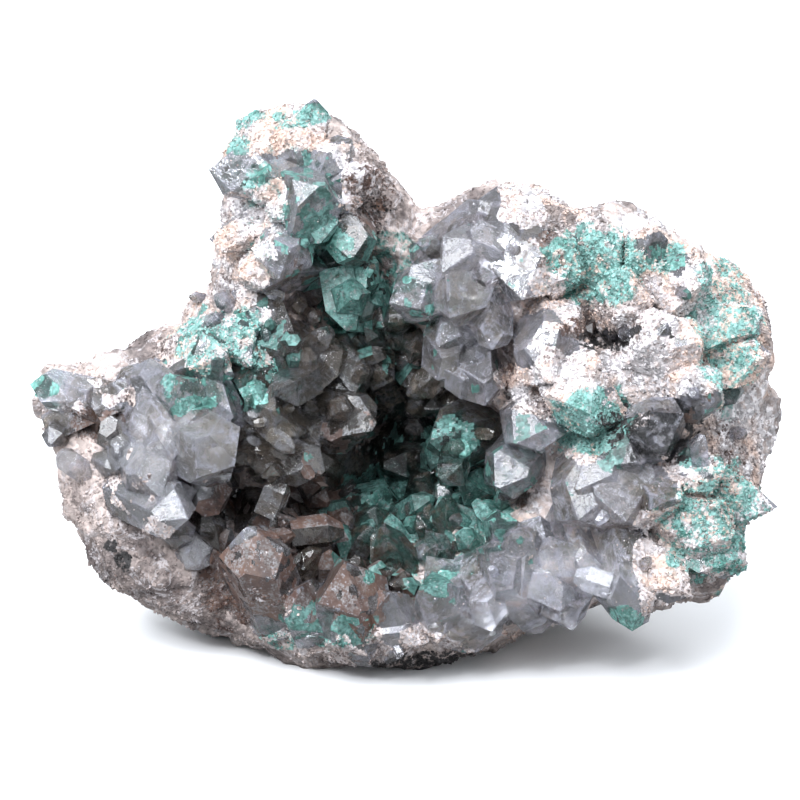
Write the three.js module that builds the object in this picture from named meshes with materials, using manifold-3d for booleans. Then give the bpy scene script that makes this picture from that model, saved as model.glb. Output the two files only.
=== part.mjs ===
// A rough crystal specimen: a lump of pale host rock, broken open on one side into a hollow, with clear
// grey crystals grown all over the broken face. It stands on a flat break and leans back a little, so the
// hollow looks out and slightly up.
//
// Millimetres, +Z up. Shapes are laid out in the plane of the broken face: u runs right, v runs up the face
// and d comes out of it, towards -Y. The finished group is leaned back and set with its origin at the middle
// of the bottom of its box.

import * as THREE from 'three';
import { ConvexGeometry } from 'three/addons/geometries/ConvexGeometry.js';
import { ImprovedNoise } from 'three/addons/math/ImprovedNoise.js';
import { mergeVertices } from 'three/addons/utils/BufferGeometryUtils.js';
import Module from 'manifold-3d';

// Driving dimensions
const LEAN = 18; // degrees that the broken face leans back from upright
const LIP_DEPTH = 4; // how far the lower lip stands out in front of the outline's plane
const BACK_DEPTH = 40; // how far the rock reaches behind the outline's plane
const BACK_MIDDLE = 30; // where up the face the back is thickest, and how far up and down that spreads
const BACK_SPREAD = 32;
const PINNACLE_BACK = 22; // how far the pinnacle reaches behind the plane
const RIM_DEPTH = -5; // where the widest outline lies
const OUTLINE_MARGIN = 0.5; // how far the rock's ball reaches past the outline, which its facets cut back
const SEAT_GAP = 0.6; // clear space between a crystal group and the rock it grew on
const GAP = 0.4; // and between two groups
const TIDY = 0.12; // slivers thinner than this are closed up
const ROOT = 3.5; // how deep a crystal starts below the rock's surface, before it is cut off there

const ROCK_CENTRE = [2, 38]; // every ray from here meets the outline once
const ROCK_DETAIL = 8; // how finely the rock's ball is divided
const LUMP_SIZE = 13; // broad lumps and hollows of the rock, across and high
const LUMP_HEIGHT = 2.4;
const CHIP_SIZE = 6; // smaller chips and pits, across and high
const CHIP_HEIGHT = 1.3;
const LEDGE_PITCH = 12; // steps where the rock broke along its layers
const LEDGE_HEIGHT = 1.6;
const LEDGE_WAY = new THREE.Vector3(0.25, 0.35, 0.9).normalize();
const BACK_ROUGHNESS = 1.7; // how much rougher the back is than the broken face
const BREAK_FLATNESS = 0.85; // how nearly flat the breaks on the back are

// Flat breaks on the rock's back and sides: the way each looks (right, up the face, out) and its distance
const BREAKS = [
  { way: [0.15, -0.25, -1], away: 34 },
  { way: [-0.8, -0.3, -0.75], away: 44 },
  { way: [0.75, 0.1, -0.7], away: 45 },
  { way: [-0.35, 0.75, -0.65], away: 42 },
  { way: [0.5, 0.7, -0.6], away: 41 },
  { way: [0.6, -0.6, -0.55], away: 40 },
];

// Outline of the rock in the plane of its broken face, clockwise from the left end
const OUTLINE = [
  [-60, 46], [-55.4, 48.6], [-47, 50.2], [-40.6, 52.6], [-34.2, 56.6], [-30.2, 60.3], [-29.1, 64],
  [-29.5, 68.3], [-27.8, 73.1], [-29, 78.6], [-28.3, 85.9], [-25.4, 90.2], [-16.6, 91.5], [-11.8, 90.7],
  [-7.8, 86.7], [-3.5, 81.1], [-0.6, 75.5], [2.6, 72.8], [7.4, 73.3], [12.2, 75], [16.6, 77.4], [21, 78.1],
  [24.6, 74.7], [31.4, 73.9], [37.8, 73.9], [45.8, 69.1], [53.4, 64.6], [57.8, 59.8], [59.4, 52],
  [57.3, 43.5], [55, 37.1], [56.2, 30.7], [55.4, 24.3], [56.5, 19], [53, 15.4], [45.8, 11.5], [37.8, 10.9],
  [30.6, 11.7], [23.4, 9.1], [17.8, 6.7], [12.5, 2.7], [-0.6, 0.6], [-10.2, 0.2], [-17.4, 1.9], [-24.6, 5.9],
  [-34.2, 8.3], [-43, 11.8], [-50.2, 17.9], [-54.2, 25.1], [-54.7, 32.3], [-57.4, 37.1], [-59.5, 41.9],
].map(([u, v]) => new THREE.Vector2(u, v));

// Swells and hollows of the broken face: where, how wide each way, and how far out (or in, if negative)
const RELIEF = [
  { at: [34, 46], wide: [24, 20], out: 12 }, // the bulging right side
  { at: [42, 20], wide: [18, 12], out: 7 },
  { at: [18, 14], wide: [20, 9], out: 9 }, // lower lip, right
  { at: [-6, 4], wide: [18, 7], out: 9 }, // lower lip, middle
  { at: [-40, 28], wide: [14, 15], out: 5 }, // left shoulder
  { at: [-18, 78], wide: [9, 13], out: 6 }, // pinnacle
  { at: [15, 66], wide: [14, 9], out: 5 }, // ridge at the upper right
  { at: [2, 37], wide: [13, 12], out: -27 }, // the hollow's deepest part
  { at: [-8, 24], wide: [13, 8], out: -15 }, // floor of the hollow
  { at: [-26, 27], wide: [8, 5], out: -15 }, // pocket at the hollow's left
  { at: [-6, 57], wide: [8, 12], out: -11 }, // valley above the hollow
  { at: [-49, 40], wide: [6, 4], out: -5 }, // small pocket in the left shoulder
  { at: [31, 53], wide: [5, 2.6], out: -9 }, // slot in the right side
];
const FACE_DEPTH = 5; // the broken face's own level, before the swells

// A crystal: tip is where its point is seen on the face, heading the way it points there (degrees from right,
// towards up), rise how steeply it comes out of the face, then its length and width. flat is its thickness as
// a share of its width, and roll turns it about its own length.
const PINNACLE = [
  { tip: [-31.8, 80.3], heading: 172, rise: 16, long: 15, wide: 9, roll: 20 },
  { tip: [-31.6, 69.4], heading: 186, rise: 6, long: 12, wide: 7 },
  { tip: [-14.2, 91.6], heading: 82, rise: 14, long: 10, wide: 6, roll: 35 },
  { tip: [-24.6, 89.6], heading: 112, rise: 14, long: 11, wide: 8 },
  { tip: [-18.5, 87], heading: 95, rise: 48, long: 9, wide: 7, roll: 50 },
  { tip: [-7.6, 85], heading: 42, rise: 26, long: 12, wide: 6.5 },
  { tip: [-3.6, 80.6], heading: 22, rise: 20, long: 13, wide: 7, roll: 60 },
  { tip: [-12.6, 77.4], heading: 46, rise: 56, long: 16, wide: 11, flat: 0.7, roll: 30 },
  { tip: [-22.4, 79], heading: 150, rise: 60, long: 11, wide: 8, roll: 15 },
  { tip: [-20.6, 72], heading: 200, rise: 58, long: 12, wide: 9, roll: 70 },
  { tip: [-13.2, 67.6], heading: 285, rise: 40, long: 13, wide: 9, roll: 20 },
  { tip: [-6.4, 74], heading: 330, rise: 42, long: 10, wide: 6 },
  { tip: [-20, 62], heading: 262, rise: 46, long: 14, wide: 9, roll: 10 },
  { tip: [-26.4, 62.6], heading: 190, rise: 40, long: 11, wide: 7, roll: 40 },
];

const LEFT_SHOULDER = [
  { tip: [-60, 46.2], heading: 168, rise: 12, long: 11, wide: 6, flat: 0.8 },
  { tip: [-54, 46.4], heading: 140, rise: 42, long: 10, wide: 6 },
  { tip: [-41.4, 46.4], heading: 24, rise: 26, long: 15, wide: 5.5, flat: 0.6, roll: 30 },
  { tip: [-48.4, 47.4], heading: 100, rise: 36, long: 10, wide: 6.5 },
  { tip: [-36.4, 33.4], heading: 302, rise: 42, long: 16, wide: 9, flat: 0.6, roll: 25 },
  { tip: [-40.6, 36.4], heading: 250, rise: 48, long: 12, wide: 8 },
  { tip: [-25.6, 33.4], heading: 332, rise: 46, long: 17, wide: 12, flat: 0.75, roll: 50 },
  { tip: [-31.4, 42.6], heading: 60, rise: 52, long: 12, wide: 8.5, roll: 15 },
  { tip: [-26.2, 41], heading: 345, rise: 50, long: 12, wide: 8, roll: 65 },
  { tip: [-38.2, 28], heading: 300, rise: 52, long: 12, wide: 8.5, roll: 40 },
  { tip: [-33, 24.6], heading: 336, rise: 44, long: 14, wide: 8.5, roll: 10 },
  { tip: [-39.8, 50.6], heading: 95, rise: 30, long: 11, wide: 7, roll: 20 },
  { tip: [-33.2, 54.8], heading: 110, rise: 32, long: 12, wide: 7.5, roll: 45 },
  { tip: [-34.2, 47.4], heading: 75, rise: 56, long: 12, wide: 8 },
  { tip: [-27.4, 51], heading: 15, rise: 54, long: 13, wide: 8.5, roll: 20 },
  { tip: [-27.6, 57.4], heading: 120, rise: 44, long: 12, wide: 8 },
];

const RIGHT_SHOULDER = [
  { tip: [5, 63], heading: 208, rise: 46, long: 15, wide: 10, roll: 35 },
  { tip: [-3.4, 58.8], heading: 196, rise: 34, long: 15, wide: 9, roll: 55 },
  { tip: [6.6, 56], heading: 236, rise: 48, long: 14, wide: 9.5, roll: 15 },
  { tip: [13.4, 50.8], heading: 268, rise: 36, long: 13, wide: 6.5 },
  { tip: [18.6, 58.6], heading: 276, rise: 48, long: 18, wide: 12.5, flat: 0.75, roll: 22 },
  { tip: [15, 75], heading: 38, rise: 24, long: 14, wide: 6, flat: 0.5, roll: 60 },
  { tip: [19.6, 78.6], heading: 84, rise: 20, long: 12, wide: 9, roll: 15 },
  { tip: [18.4, 72.4], heading: 95, rise: 58, long: 10, wide: 7, roll: 40 },
  { tip: [9.8, 69.6], heading: 150, rise: 52, long: 12, wide: 8 },
  { tip: [4.6, 51.6], heading: 222, rise: 40, long: 11, wide: 6 },
  { tip: [31, 73.8], heading: 88, rise: 26, long: 11, wide: 8, roll: 30 },
  { tip: [26.4, 68], heading: 60, rise: 60, long: 10, wide: 8 },
  { tip: [12.4, 62], heading: 250, rise: 60, long: 12, wide: 8, roll: 50 },
  { tip: [25, 62], heading: 300, rise: 56, long: 12, wide: 8, roll: 35 },
  { tip: [9, 43], heading: 268, rise: 34, long: 14, wide: 6.5, roll: 35 },
  { tip: [12.4, 42], heading: 274, rise: 38, long: 14, wide: 6.5, roll: 65 },
  { tip: [4.4, 46.4], heading: 246, rise: 36, long: 13, wide: 6.5 },
];

const RIGHT_FLANK = [
  { tip: [22.6, 45], heading: 268, rise: 58, long: 15, wide: 13, flat: 0.85, roll: 15 },
  { tip: [30, 39.6], heading: 292, rise: 58, long: 14, wide: 12, flat: 0.85, roll: 40 },
  { tip: [44, 41], heading: 24, rise: 42, long: 17, wide: 9, flat: 0.7, roll: 65 },
  { tip: [60, 26.8], heading: 352, rise: 8, long: 13, wide: 8, flat: 0.6, roll: 80 },
  { tip: [26, 29.6], heading: 200, rise: 52, long: 13, wide: 9, roll: 30 },
  { tip: [27.4, 24.6], heading: 256, rise: 54, long: 14, wide: 11, roll: 60 },
  { tip: [35, 24.4], heading: 292, rise: 54, long: 14, wide: 11, roll: 25 },
  { tip: [36.6, 33], heading: 340, rise: 62, long: 12, wide: 9 },
  { tip: [44, 28], heading: 350, rise: 58, long: 13, wide: 10, roll: 45 },
  { tip: [51.6, 33.4], heading: 10, rise: 40, long: 13, wide: 9, roll: 15 },
  { tip: [51.4, 21.6], heading: 335, rise: 40, long: 13, wide: 10, roll: 35 },
  { tip: [46, 12], heading: 325, rise: 22, long: 13, wide: 8 },
  { tip: [54.6, 16.6], heading: 330, rise: 16, long: 11, wide: 7.5, roll: 20 },
  { tip: [13.6, 29.6], heading: 226, rise: 50, long: 13, wide: 9, roll: 25 },
  { tip: [17.2, 36.4], heading: 230, rise: 56, long: 12, wide: 8, roll: 55 },
];

const RIGHT_CREST = [
  { tip: [42.6, 57], heading: 48, rise: 50, long: 13, wide: 8.5, roll: 20 },
  { tip: [39.4, 71.2], heading: 72, rise: 36, long: 12, wide: 7, roll: 45 },
  { tip: [46.4, 67], heading: 58, rise: 34, long: 12, wide: 8 },
  { tip: [57, 58.2], heading: 28, rise: 22, long: 11, wide: 7 },
  { tip: [58.6, 50.6], heading: 5, rise: 22, long: 11, wide: 7.5, roll: 35 },
  { tip: [47, 52], heading: 10, rise: 58, long: 12, wide: 9, roll: 10 },
  { tip: [50, 44], heading: 350, rise: 50, long: 12, wide: 9, roll: 55 },
  { tip: [36, 63.6], heading: 75, rise: 60, long: 12, wide: 10, roll: 30 },
];

const LOWER_LIP = [
  { tip: [16, 23.4], heading: 118, rise: 48, long: 12, wide: 7.5, roll: 25 },
  { tip: [23.6, 22], heading: 102, rise: 54, long: 12, wide: 8.5, roll: 55 },
  { tip: [12, 20.4], heading: 132, rise: 46, long: 14, wide: 10, roll: 15 },
  { tip: [19.4, 19.4], heading: 80, rise: 58, long: 11, wide: 8.5, roll: 40 },
  { tip: [29.6, 12.2], heading: 290, rise: 36, long: 14, wide: 8.5, flat: 0.6, roll: 30 },
  { tip: [24, 10], heading: 284, rise: 40, long: 13, wide: 8.5, roll: 70 },
  { tip: [26.8, 6.9], heading: 286, rise: 14, long: 12, wide: 6, roll: 10 },
  { tip: [35.4, 6.7], heading: 276, rise: 24, long: 19, wide: 8, flat: 0.75, roll: 35 },
  { tip: [1.4, 14], heading: 152, rise: 44, long: 14, wide: 9.5, roll: 20 },
  { tip: [9, 15], heading: 70, rise: 54, long: 11, wide: 8, roll: 50 },
  { tip: [14, 7], heading: 280, rise: 40, long: 11, wide: 7.5 },
  { tip: [6, 5.4], heading: 262, rise: 44, long: 11, wide: 7.5, roll: 35 },
  { tip: [-5.4, 6.6], heading: 200, rise: 48, long: 11, wide: 7.5, roll: 15 },
  { tip: [13, 24.6], heading: 140, rise: 50, long: 11, wide: 6.5 },
  { tip: [-9.4, 19.4], heading: 102, rise: 42, long: 15, wide: 11, roll: 60 },
  { tip: [-16.6, 14.6], heading: 112, rise: 52, long: 10, wide: 9.5, roll: 10 },
  { tip: [-2, 13.4], heading: 95, rise: 54, long: 11, wide: 7, roll: 80 },
  { tip: [-10.6, 10.6], heading: 110, rise: 60, long: 9, wide: 7.5, roll: 40 },
  { tip: [-25.8, 24], heading: 110, rise: 38, long: 17, wide: 12, flat: 0.75, roll: 25 },
];

const HOLLOW = [
  { tip: [-21.6, 26.6], heading: 112, rise: 50, long: 13, wide: 9, roll: 30 },
  { tip: [-8, 66], heading: 280, rise: 56, long: 12, wide: 7, roll: 15 },
  { tip: [-6, 61], heading: 300, rise: 55, long: 11, wide: 6.5, roll: 60 },
  { tip: [-9, 56.8], heading: 270, rise: 68, long: 11, wide: 7, roll: 30 },
  { tip: [-2.6, 54.6], heading: 310, rise: 44, long: 12, wide: 7 },
  { tip: [-18, 46.2], heading: 292, rise: 34, long: 16, wide: 8, flat: 0.6, roll: 20 },
  { tip: [-15.8, 44.8], heading: 285, rise: 46, long: 13, wide: 6, roll: 45 },
  { tip: [-21.2, 42.6], heading: 300, rise: 52, long: 12, wide: 7, roll: 10 },
  { tip: [-21, 34.9], heading: 266, rise: 40, long: 16, wide: 10, roll: 32 },
  { tip: [-14.4, 35], heading: 276, rise: 44, long: 12, wide: 5.5, roll: 60 },
  { tip: [-3.4, 38.4], heading: 344, rise: 38, long: 16, wide: 10, flat: 0.75, roll: 30 },
  { tip: [-8, 43.6], heading: 282, rise: 52, long: 13, wide: 7.5, roll: 15 },
  { tip: [-1.4, 46.4], heading: 318, rise: 44, long: 12, wide: 7, roll: 50 },
  { tip: [-12, 31.4], heading: 330, rise: 32, long: 15, wide: 8 },
  { tip: [-3.4, 29.4], heading: 62, rise: 56, long: 12, wide: 8.5, roll: 40 },
  { tip: [3.2, 37.4], heading: 188, rise: 44, long: 15, wide: 9.5, roll: 12 },
  { tip: [5.4, 30.4], heading: 240, rise: 52, long: 10, wide: 6 },
  { tip: [-19.4, 27.2], heading: 30, rise: 48, long: 11, wide: 6.5, roll: 50 },
];

const SHARED = { flat: 0.85, roll: 0 }; // what a crystal has unless its row says otherwise

// The hollow's lining: how far its points stand up, how far it is sunk in the rock elsewhere, and the levels
// of the face between which it begins
const LINING = { low: 0.7, high: 3.2, sunk: 2, deep: -5, shallow: 2, seed: 41 };
const CRUMB = 40; // cubic millimetres: loose bits smaller than this are left out

const wasm = await Module();
wasm.setup();

const radians = THREE.MathUtils.degToRad;
const noise = new ImprovedNoise();

// A seeded stream of numbers from 0 to 1, so that every build gives the same crystals
function stream(seed) {
  let state = seed >>> 0;
  return () => {
    state = (state + 0x6d2b79f5) >>> 0;
    let mixed = Math.imul(state ^ (state >>> 15), state | 1);
    mixed ^= mixed + Math.imul(mixed ^ (mixed >>> 7), mixed | 61);
    return ((mixed ^ (mixed >>> 14)) >>> 0) / 4294967296;
  };
}

function solidOf(geometry) {
  const bare = geometry.clone();
  bare.deleteAttribute('normal');
  bare.deleteAttribute('uv');
  const merged = mergeVertices(bare, 1e-4);
  return new wasm.Manifold(new wasm.Mesh({
    numProp: 3,
    vertProperties: new Float32Array(merged.attributes.position.array),
    triVerts: new Uint32Array(merged.index.array),
  }));
}

function geometryOf(solid) {
  const mesh = solid.getMesh();
  const geometry = new THREE.BufferGeometry();
  geometry.setAttribute('position', new THREE.BufferAttribute(mesh.vertProperties, 3));
  geometry.setIndex(new THREE.BufferAttribute(mesh.triVerts, 1));
  return geometry;
}

const joined = (solids) => solids.reduce((whole, next) => whole.add(next));

// The rock

// How far the outline is from the rock's centre in the direction of an angle
function outlineReach(angle) {
  const from = new THREE.Vector2(...ROCK_CENTRE);
  const way = new THREE.Vector2(Math.cos(angle), Math.sin(angle));
  let reach = Infinity;
  OUTLINE.forEach((start, i) => {
    const edge = OUTLINE[(i + 1) % OUTLINE.length].clone().sub(start);
    const across = way.cross(edge);
    const offset = start.clone().sub(from);
    const along = offset.cross(edge) / across;
    const share = offset.cross(way) / across;
    if (share >= 0 && share < 1 && along > 0) reach = Math.min(reach, along);
  });
  return reach + OUTLINE_MARGIN;
}

function relief(u, v) {
  return RELIEF.reduce((depth, { at, wide, out }) => {
    const across = (u - at[0]) / wide[0];
    const up = (v - at[1]) / wide[1];
    return depth + out * Math.exp(-across * across - up * up);
  }, FACE_DEPTH);
}

// Depth of the broken face, or of the rock's back, at a share of the way out to the outline
function faceDepth(u, v, share) {
  const flank = Math.sqrt(Math.max(0, 1 - share * share));
  return RIM_DEPTH + (relief(u, v) - RIM_DEPTH) * (1 - (1 - flank) ** 3);
}

function backDepth(u, v, share) {
  const flank = Math.sqrt(Math.max(0, 1 - share * share));
  const body = Math.exp(-(((v - BACK_MIDDLE) / BACK_SPREAD) ** 2));
  const depth = -PINNACLE_BACK - (BACK_DEPTH - PINNACLE_BACK) * body;
  return RIM_DEPTH + (depth - RIM_DEPTH) * (1 - (1 - flank) ** 2);
}

// Depth of the broken face at a place on it
function faceDepthAt(u, v) {
  const du = u - ROCK_CENTRE[0];
  const dv = v - ROCK_CENTRE[1];
  return faceDepth(u, v, Math.min(1, Math.hypot(du, dv) / outlineReach(Math.atan2(dv, du))));
}

function roughness(p) {
  const lump = noise.noise(p.x / LUMP_SIZE, p.y / LUMP_SIZE, p.z / LUMP_SIZE);
  const chip = noise.noise(p.x / CHIP_SIZE, p.y / CHIP_SIZE, p.z / CHIP_SIZE);
  const layer = p.dot(LEDGE_WAY) / LEDGE_PITCH + lump;
  const ledge = layer - Math.floor(layer) - 0.5;
  return LUMP_HEIGHT * lump + CHIP_HEIGHT * chip + LEDGE_HEIGHT * ledge;
}

// Brings a point that stands out past a flat break back to it
function broken(p) {
  const centre = new THREE.Vector3(ROCK_CENTRE[0], 0, ROCK_CENTRE[1]);
  BREAKS.forEach(({ way, away }) => {
    const normal = new THREE.Vector3(way[0], -way[2], way[1]).normalize();
    const past = p.clone().sub(centre).dot(normal) - away;
    if (past > 0) p.addScaledVector(normal, -past * BREAK_FLATNESS);
  });
  return p;
}

// A ball drawn out to the outline, broken and roughened. standOff raises each place of its surface, given
// where that lies on the face and whether it is on the front.
function rockGeometry(standOff) {
  const ball = new THREE.IcosahedronGeometry(1, ROCK_DETAIL);
  ball.deleteAttribute('normal');
  ball.deleteAttribute('uv');
  const rock = mergeVertices(ball, 1e-5);
  const place = rock.attributes.position;
  const raised = [];
  const rough = [];
  const p = new THREE.Vector3();
  for (let i = 0; i < place.count; i += 1) {
    p.fromBufferAttribute(place, i);
    const front = p.y < 0;
    const share = Math.min(1, Math.hypot(p.x, p.z));
    const angle = Math.atan2(p.z, p.x);
    const reach = outlineReach(angle) * share;
    const u = ROCK_CENTRE[0] + reach * Math.cos(angle);
    const v = ROCK_CENTRE[1] + reach * Math.sin(angle);
    const depth = front ? faceDepth(u, v, share) : backDepth(u, v, share);
    raised.push(standOff(u, v, front));
    rough.push(front ? 1 : BACK_ROUGHNESS);
    broken(p.set(u, -depth, v));
    place.setXYZ(i, p.x, p.y, p.z);
  }
  rock.computeVertexNormals();
  const normal = rock.attributes.normal.clone();
  const n = new THREE.Vector3();
  for (let i = 0; i < place.count; i += 1) {
    p.fromBufferAttribute(place, i);
    n.fromBufferAttribute(normal, i);
    p.addScaledVector(n, rough[i] * roughness(p) + raised[i]);
    place.setXYZ(i, p.x, p.y, p.z);
  }
  return rock;
}

// The hollow's lining of small crystals: the rock's surface raised into points there, and sunk elsewhere
function liningSolid(grow) {
  const random = stream(LINING.seed);
  return solidOf(rockGeometry((u, v, front) => {
    const height = LINING.low + (LINING.high - LINING.low) * random();
    const inside = 1 - THREE.MathUtils.smoothstep(relief(u, v), LINING.deep, LINING.shallow);
    return (front ? inside : 0) * (height + LINING.sunk) - LINING.sunk + grow;
  }));
}

// The crystals

// Corners of the solid that lies behind every one of the planes
function cornersBehind(planes) {
  const corners = [];
  const m = new THREE.Matrix3();
  planes.forEach((a, i) => planes.slice(i + 1).forEach((b, j) => planes.slice(i + j + 2).forEach((c) => {
    m.set(...a.normal, ...b.normal, ...c.normal);
    if (Math.abs(m.determinant()) < 1e-6) return;
    const corner = new THREE.Vector3(-a.constant, -b.constant, -c.constant).applyMatrix3(m.invert());
    if (planes.some((plane) => plane.distanceToPoint(corner) > 1e-6)) return;
    if (corners.every((known) => known.distanceTo(corner) > 1e-3)) corners.push(corner);
  })));
  return corners;
}

const PRISM_ANGLES = [0, 62, 118, 180, 242, 298]; // ways that a stout prism's six faces look
const RHOMB_ANGLES = [38, 142, 218, 322]; // and a slim one's four
const SLIM = 8.2; // crystals narrower than this are slim
const POINT_ANGLES = [0, 90, 180, 270]; // ways that the point's faces look
const POINT_SLOPE = 50; // degrees that they tip over from the crystal's end
const UNEVEN = { turn: 14, side: 0.3, pointTurn: 30, slope: 0.35, end: 0.12 }; // how far crystals differ

// Flat faces of one crystal standing up on its root: a prism closed by a four-sided point
function crystalPlanes({ long, wide, flat }, random, grow) {
  const plane = (normal, away) => new THREE.Plane(normal, -(away + grow));
  const shaken = (spread) => spread * (random() - 0.5);
  const sides = (wide < SLIM ? RHOMB_ANGLES : PRISM_ANGLES).map((angle) => {
    const a = radians(angle + shaken(UNEVEN.turn));
    const normal = new THREE.Vector3(Math.cos(a), Math.sin(a), 0);
    const half = (wide / 2) * Math.hypot(normal.x * flat, normal.y);
    return plane(normal, half * (1 + shaken(UNEVEN.side)));
  });
  const point = POINT_ANGLES.map((angle) => {
    const around = radians(angle + shaken(UNEVEN.pointTurn));
    const over = radians(POINT_SLOPE * (1 + shaken(UNEVEN.slope)));
    const normal = new THREE.Vector3(
      Math.cos(around) * Math.sin(over), Math.sin(around) * Math.sin(over), Math.cos(over));
    return plane(normal, long * normal.z - UNEVEN.end * wide * random());
  });
  const foot = plane(new THREE.Vector3(0, 0, -1), ROOT);
  return [...sides, ...point, foot];
}

function crystalSolid(row, seed, grow) {
  const shape = { ...SHARED, ...row };
  const heading = radians(shape.heading);
  const rise = radians(shape.rise);
  const along = new THREE.Vector3(
    Math.cos(rise) * Math.cos(heading), -Math.sin(rise), Math.cos(rise) * Math.sin(heading));
  const u = shape.tip[0] - along.x * shape.long;
  const v = shape.tip[1] - along.z * shape.long;
  const geometry = new ConvexGeometry(cornersBehind(crystalPlanes(shape, stream(seed), grow)));
  const turn = new THREE.Quaternion().setFromUnitVectors(new THREE.Vector3(0, 0, 1), along);
  const roll = new THREE.Quaternion().setFromAxisAngle(new THREE.Vector3(0, 0, 1), radians(shape.roll));
  geometry.applyQuaternion(turn.multiply(roll));
  geometry.translate(u, -faceDepthAt(u, v), v);
  return solidOf(geometry);
}

// Crystals grown together are one solid
function clusterSolid({ rows, firstSeed, lined }, grow) {
  const crystals = joined(rows.map((row, i) => crystalSolid(row, firstSeed + i, grow)));
  return lined ? crystals.add(liningSolid(grow)) : crystals;
}

// The bodies of a solid, largest first, without crumbs
function bodiesOf(solid) {
  const bodies = solid.simplify(TIDY).decompose().filter((body) => body.volume() > CRUMB);
  return bodies.sort((a, b) => b.volume() - a.volume());
}

const CLUSTERS = [
  { name: 'hollow_crust', rows: HOLLOW, lined: true, firstSeed: 100, colour: 0x5c6b60 },
  { name: 'pinnacle_crystals', rows: PINNACLE, firstSeed: 200, colour: 0xa9b3ad },
  { name: 'left_shoulder_crystals', rows: LEFT_SHOULDER, firstSeed: 300, colour: 0x9aa19f },
  { name: 'right_shoulder_crystals', rows: RIGHT_SHOULDER, firstSeed: 400, colour: 0x9a9a98 },
  { name: 'right_flank_crystals', rows: RIGHT_FLANK, firstSeed: 500, colour: 0x7fae9c },
  { name: 'right_crest_crystals', rows: RIGHT_CREST, firstSeed: 700, colour: 0x86b5a2 },
  { name: 'lower_lip_crystals', rows: LOWER_LIP, firstSeed: 600, colour: 0x9fa0a6 },
];

// Everything below the flat break that the specimen stands on
function groundSolid() {
  const size = 400;
  const ground = new THREE.BoxGeometry(size, size, size);
  ground.translate(0, 0, LIP_DEPTH * Math.sin(radians(LEAN)) - size / 2);
  ground.rotateX(radians(LEAN));
  return solidOf(ground);
}

const specimen = new THREE.Group();
const face = new THREE.Group();
face.rotation.x = -radians(LEAN);
specimen.add(face);

function addMesh(name, solid, finish) {
  const mesh = new THREE.Mesh(geometryOf(solid), new THREE.MeshStandardMaterial(finish));
  mesh.name = name;
  face.add(mesh);
}

const ground = groundSolid();
const rock = solidOf(rockGeometry(() => 0));
addMesh('matrix', rock.subtract(ground), { color: 0xb5a79c, roughness: 0.9, metalness: 0 });

// Each group is cut clear of the rock, the ground and the groups before it
let taken = solidOf(rockGeometry(() => SEAT_GAP)).add(ground);
CLUSTERS.forEach((cluster) => {
  bodiesOf(clusterSolid(cluster, 0).subtract(taken)).forEach((body, i) => {
    const name = i === 0 ? cluster.name : `${cluster.name}_${i + 1}`;
    addMesh(name, body, { color: cluster.colour, roughness: 0.2, metalness: 0 });
  });
  taken = taken.add(clusterSolid(cluster, GAP));
});

// The origin goes to the middle of the bottom of the whole box
const box = new THREE.Box3().setFromObject(specimen, true);
face.position.set(-(box.min.x + box.max.x) / 2, -(box.min.y + box.max.y) / 2, -box.min.z);

export default specimen;
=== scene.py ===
"""Rough crystal specimen: a lump of pale host rock broken open into a hollow and grown over with smoky clear
crystals, young crystals and a granular crust, stained green by copper and brown by iron."""

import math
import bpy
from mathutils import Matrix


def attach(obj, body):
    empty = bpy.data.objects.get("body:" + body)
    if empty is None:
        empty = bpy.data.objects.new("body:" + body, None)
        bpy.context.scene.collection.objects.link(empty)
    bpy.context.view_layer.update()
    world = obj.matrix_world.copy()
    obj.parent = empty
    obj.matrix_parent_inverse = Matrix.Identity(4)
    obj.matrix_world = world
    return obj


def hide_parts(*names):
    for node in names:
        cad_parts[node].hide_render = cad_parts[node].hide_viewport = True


bl_info = {
    "name": "Rough Crystal Specimen",
    "version": (1, 0, 0),
    "blender": (4, 5, 0),
    "location": "View3D > Sidebar > Specimen",
    "description": "Dresses the solid rock and its crystal groups with their natural surfaces",
    "category": "Object",
}

import bpy
import numpy as np
from bpy.props import FloatProperty, FloatVectorProperty, IntProperty, PointerProperty
from mathutils import Vector, noise

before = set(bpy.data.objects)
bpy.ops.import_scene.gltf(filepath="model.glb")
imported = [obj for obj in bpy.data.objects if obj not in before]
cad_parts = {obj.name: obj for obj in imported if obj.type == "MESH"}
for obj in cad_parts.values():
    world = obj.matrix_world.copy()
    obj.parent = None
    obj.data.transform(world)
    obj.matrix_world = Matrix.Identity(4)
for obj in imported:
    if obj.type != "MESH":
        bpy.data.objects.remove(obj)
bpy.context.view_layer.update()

# The broken face leans back. Its plane has u to the right, v up and d out, in millimetres from this corner.
LEAN = math.radians(18)
FACE_ORIGIN = (-0.000410, -0.016156, -0.001236)
MM = 0.001

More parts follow.
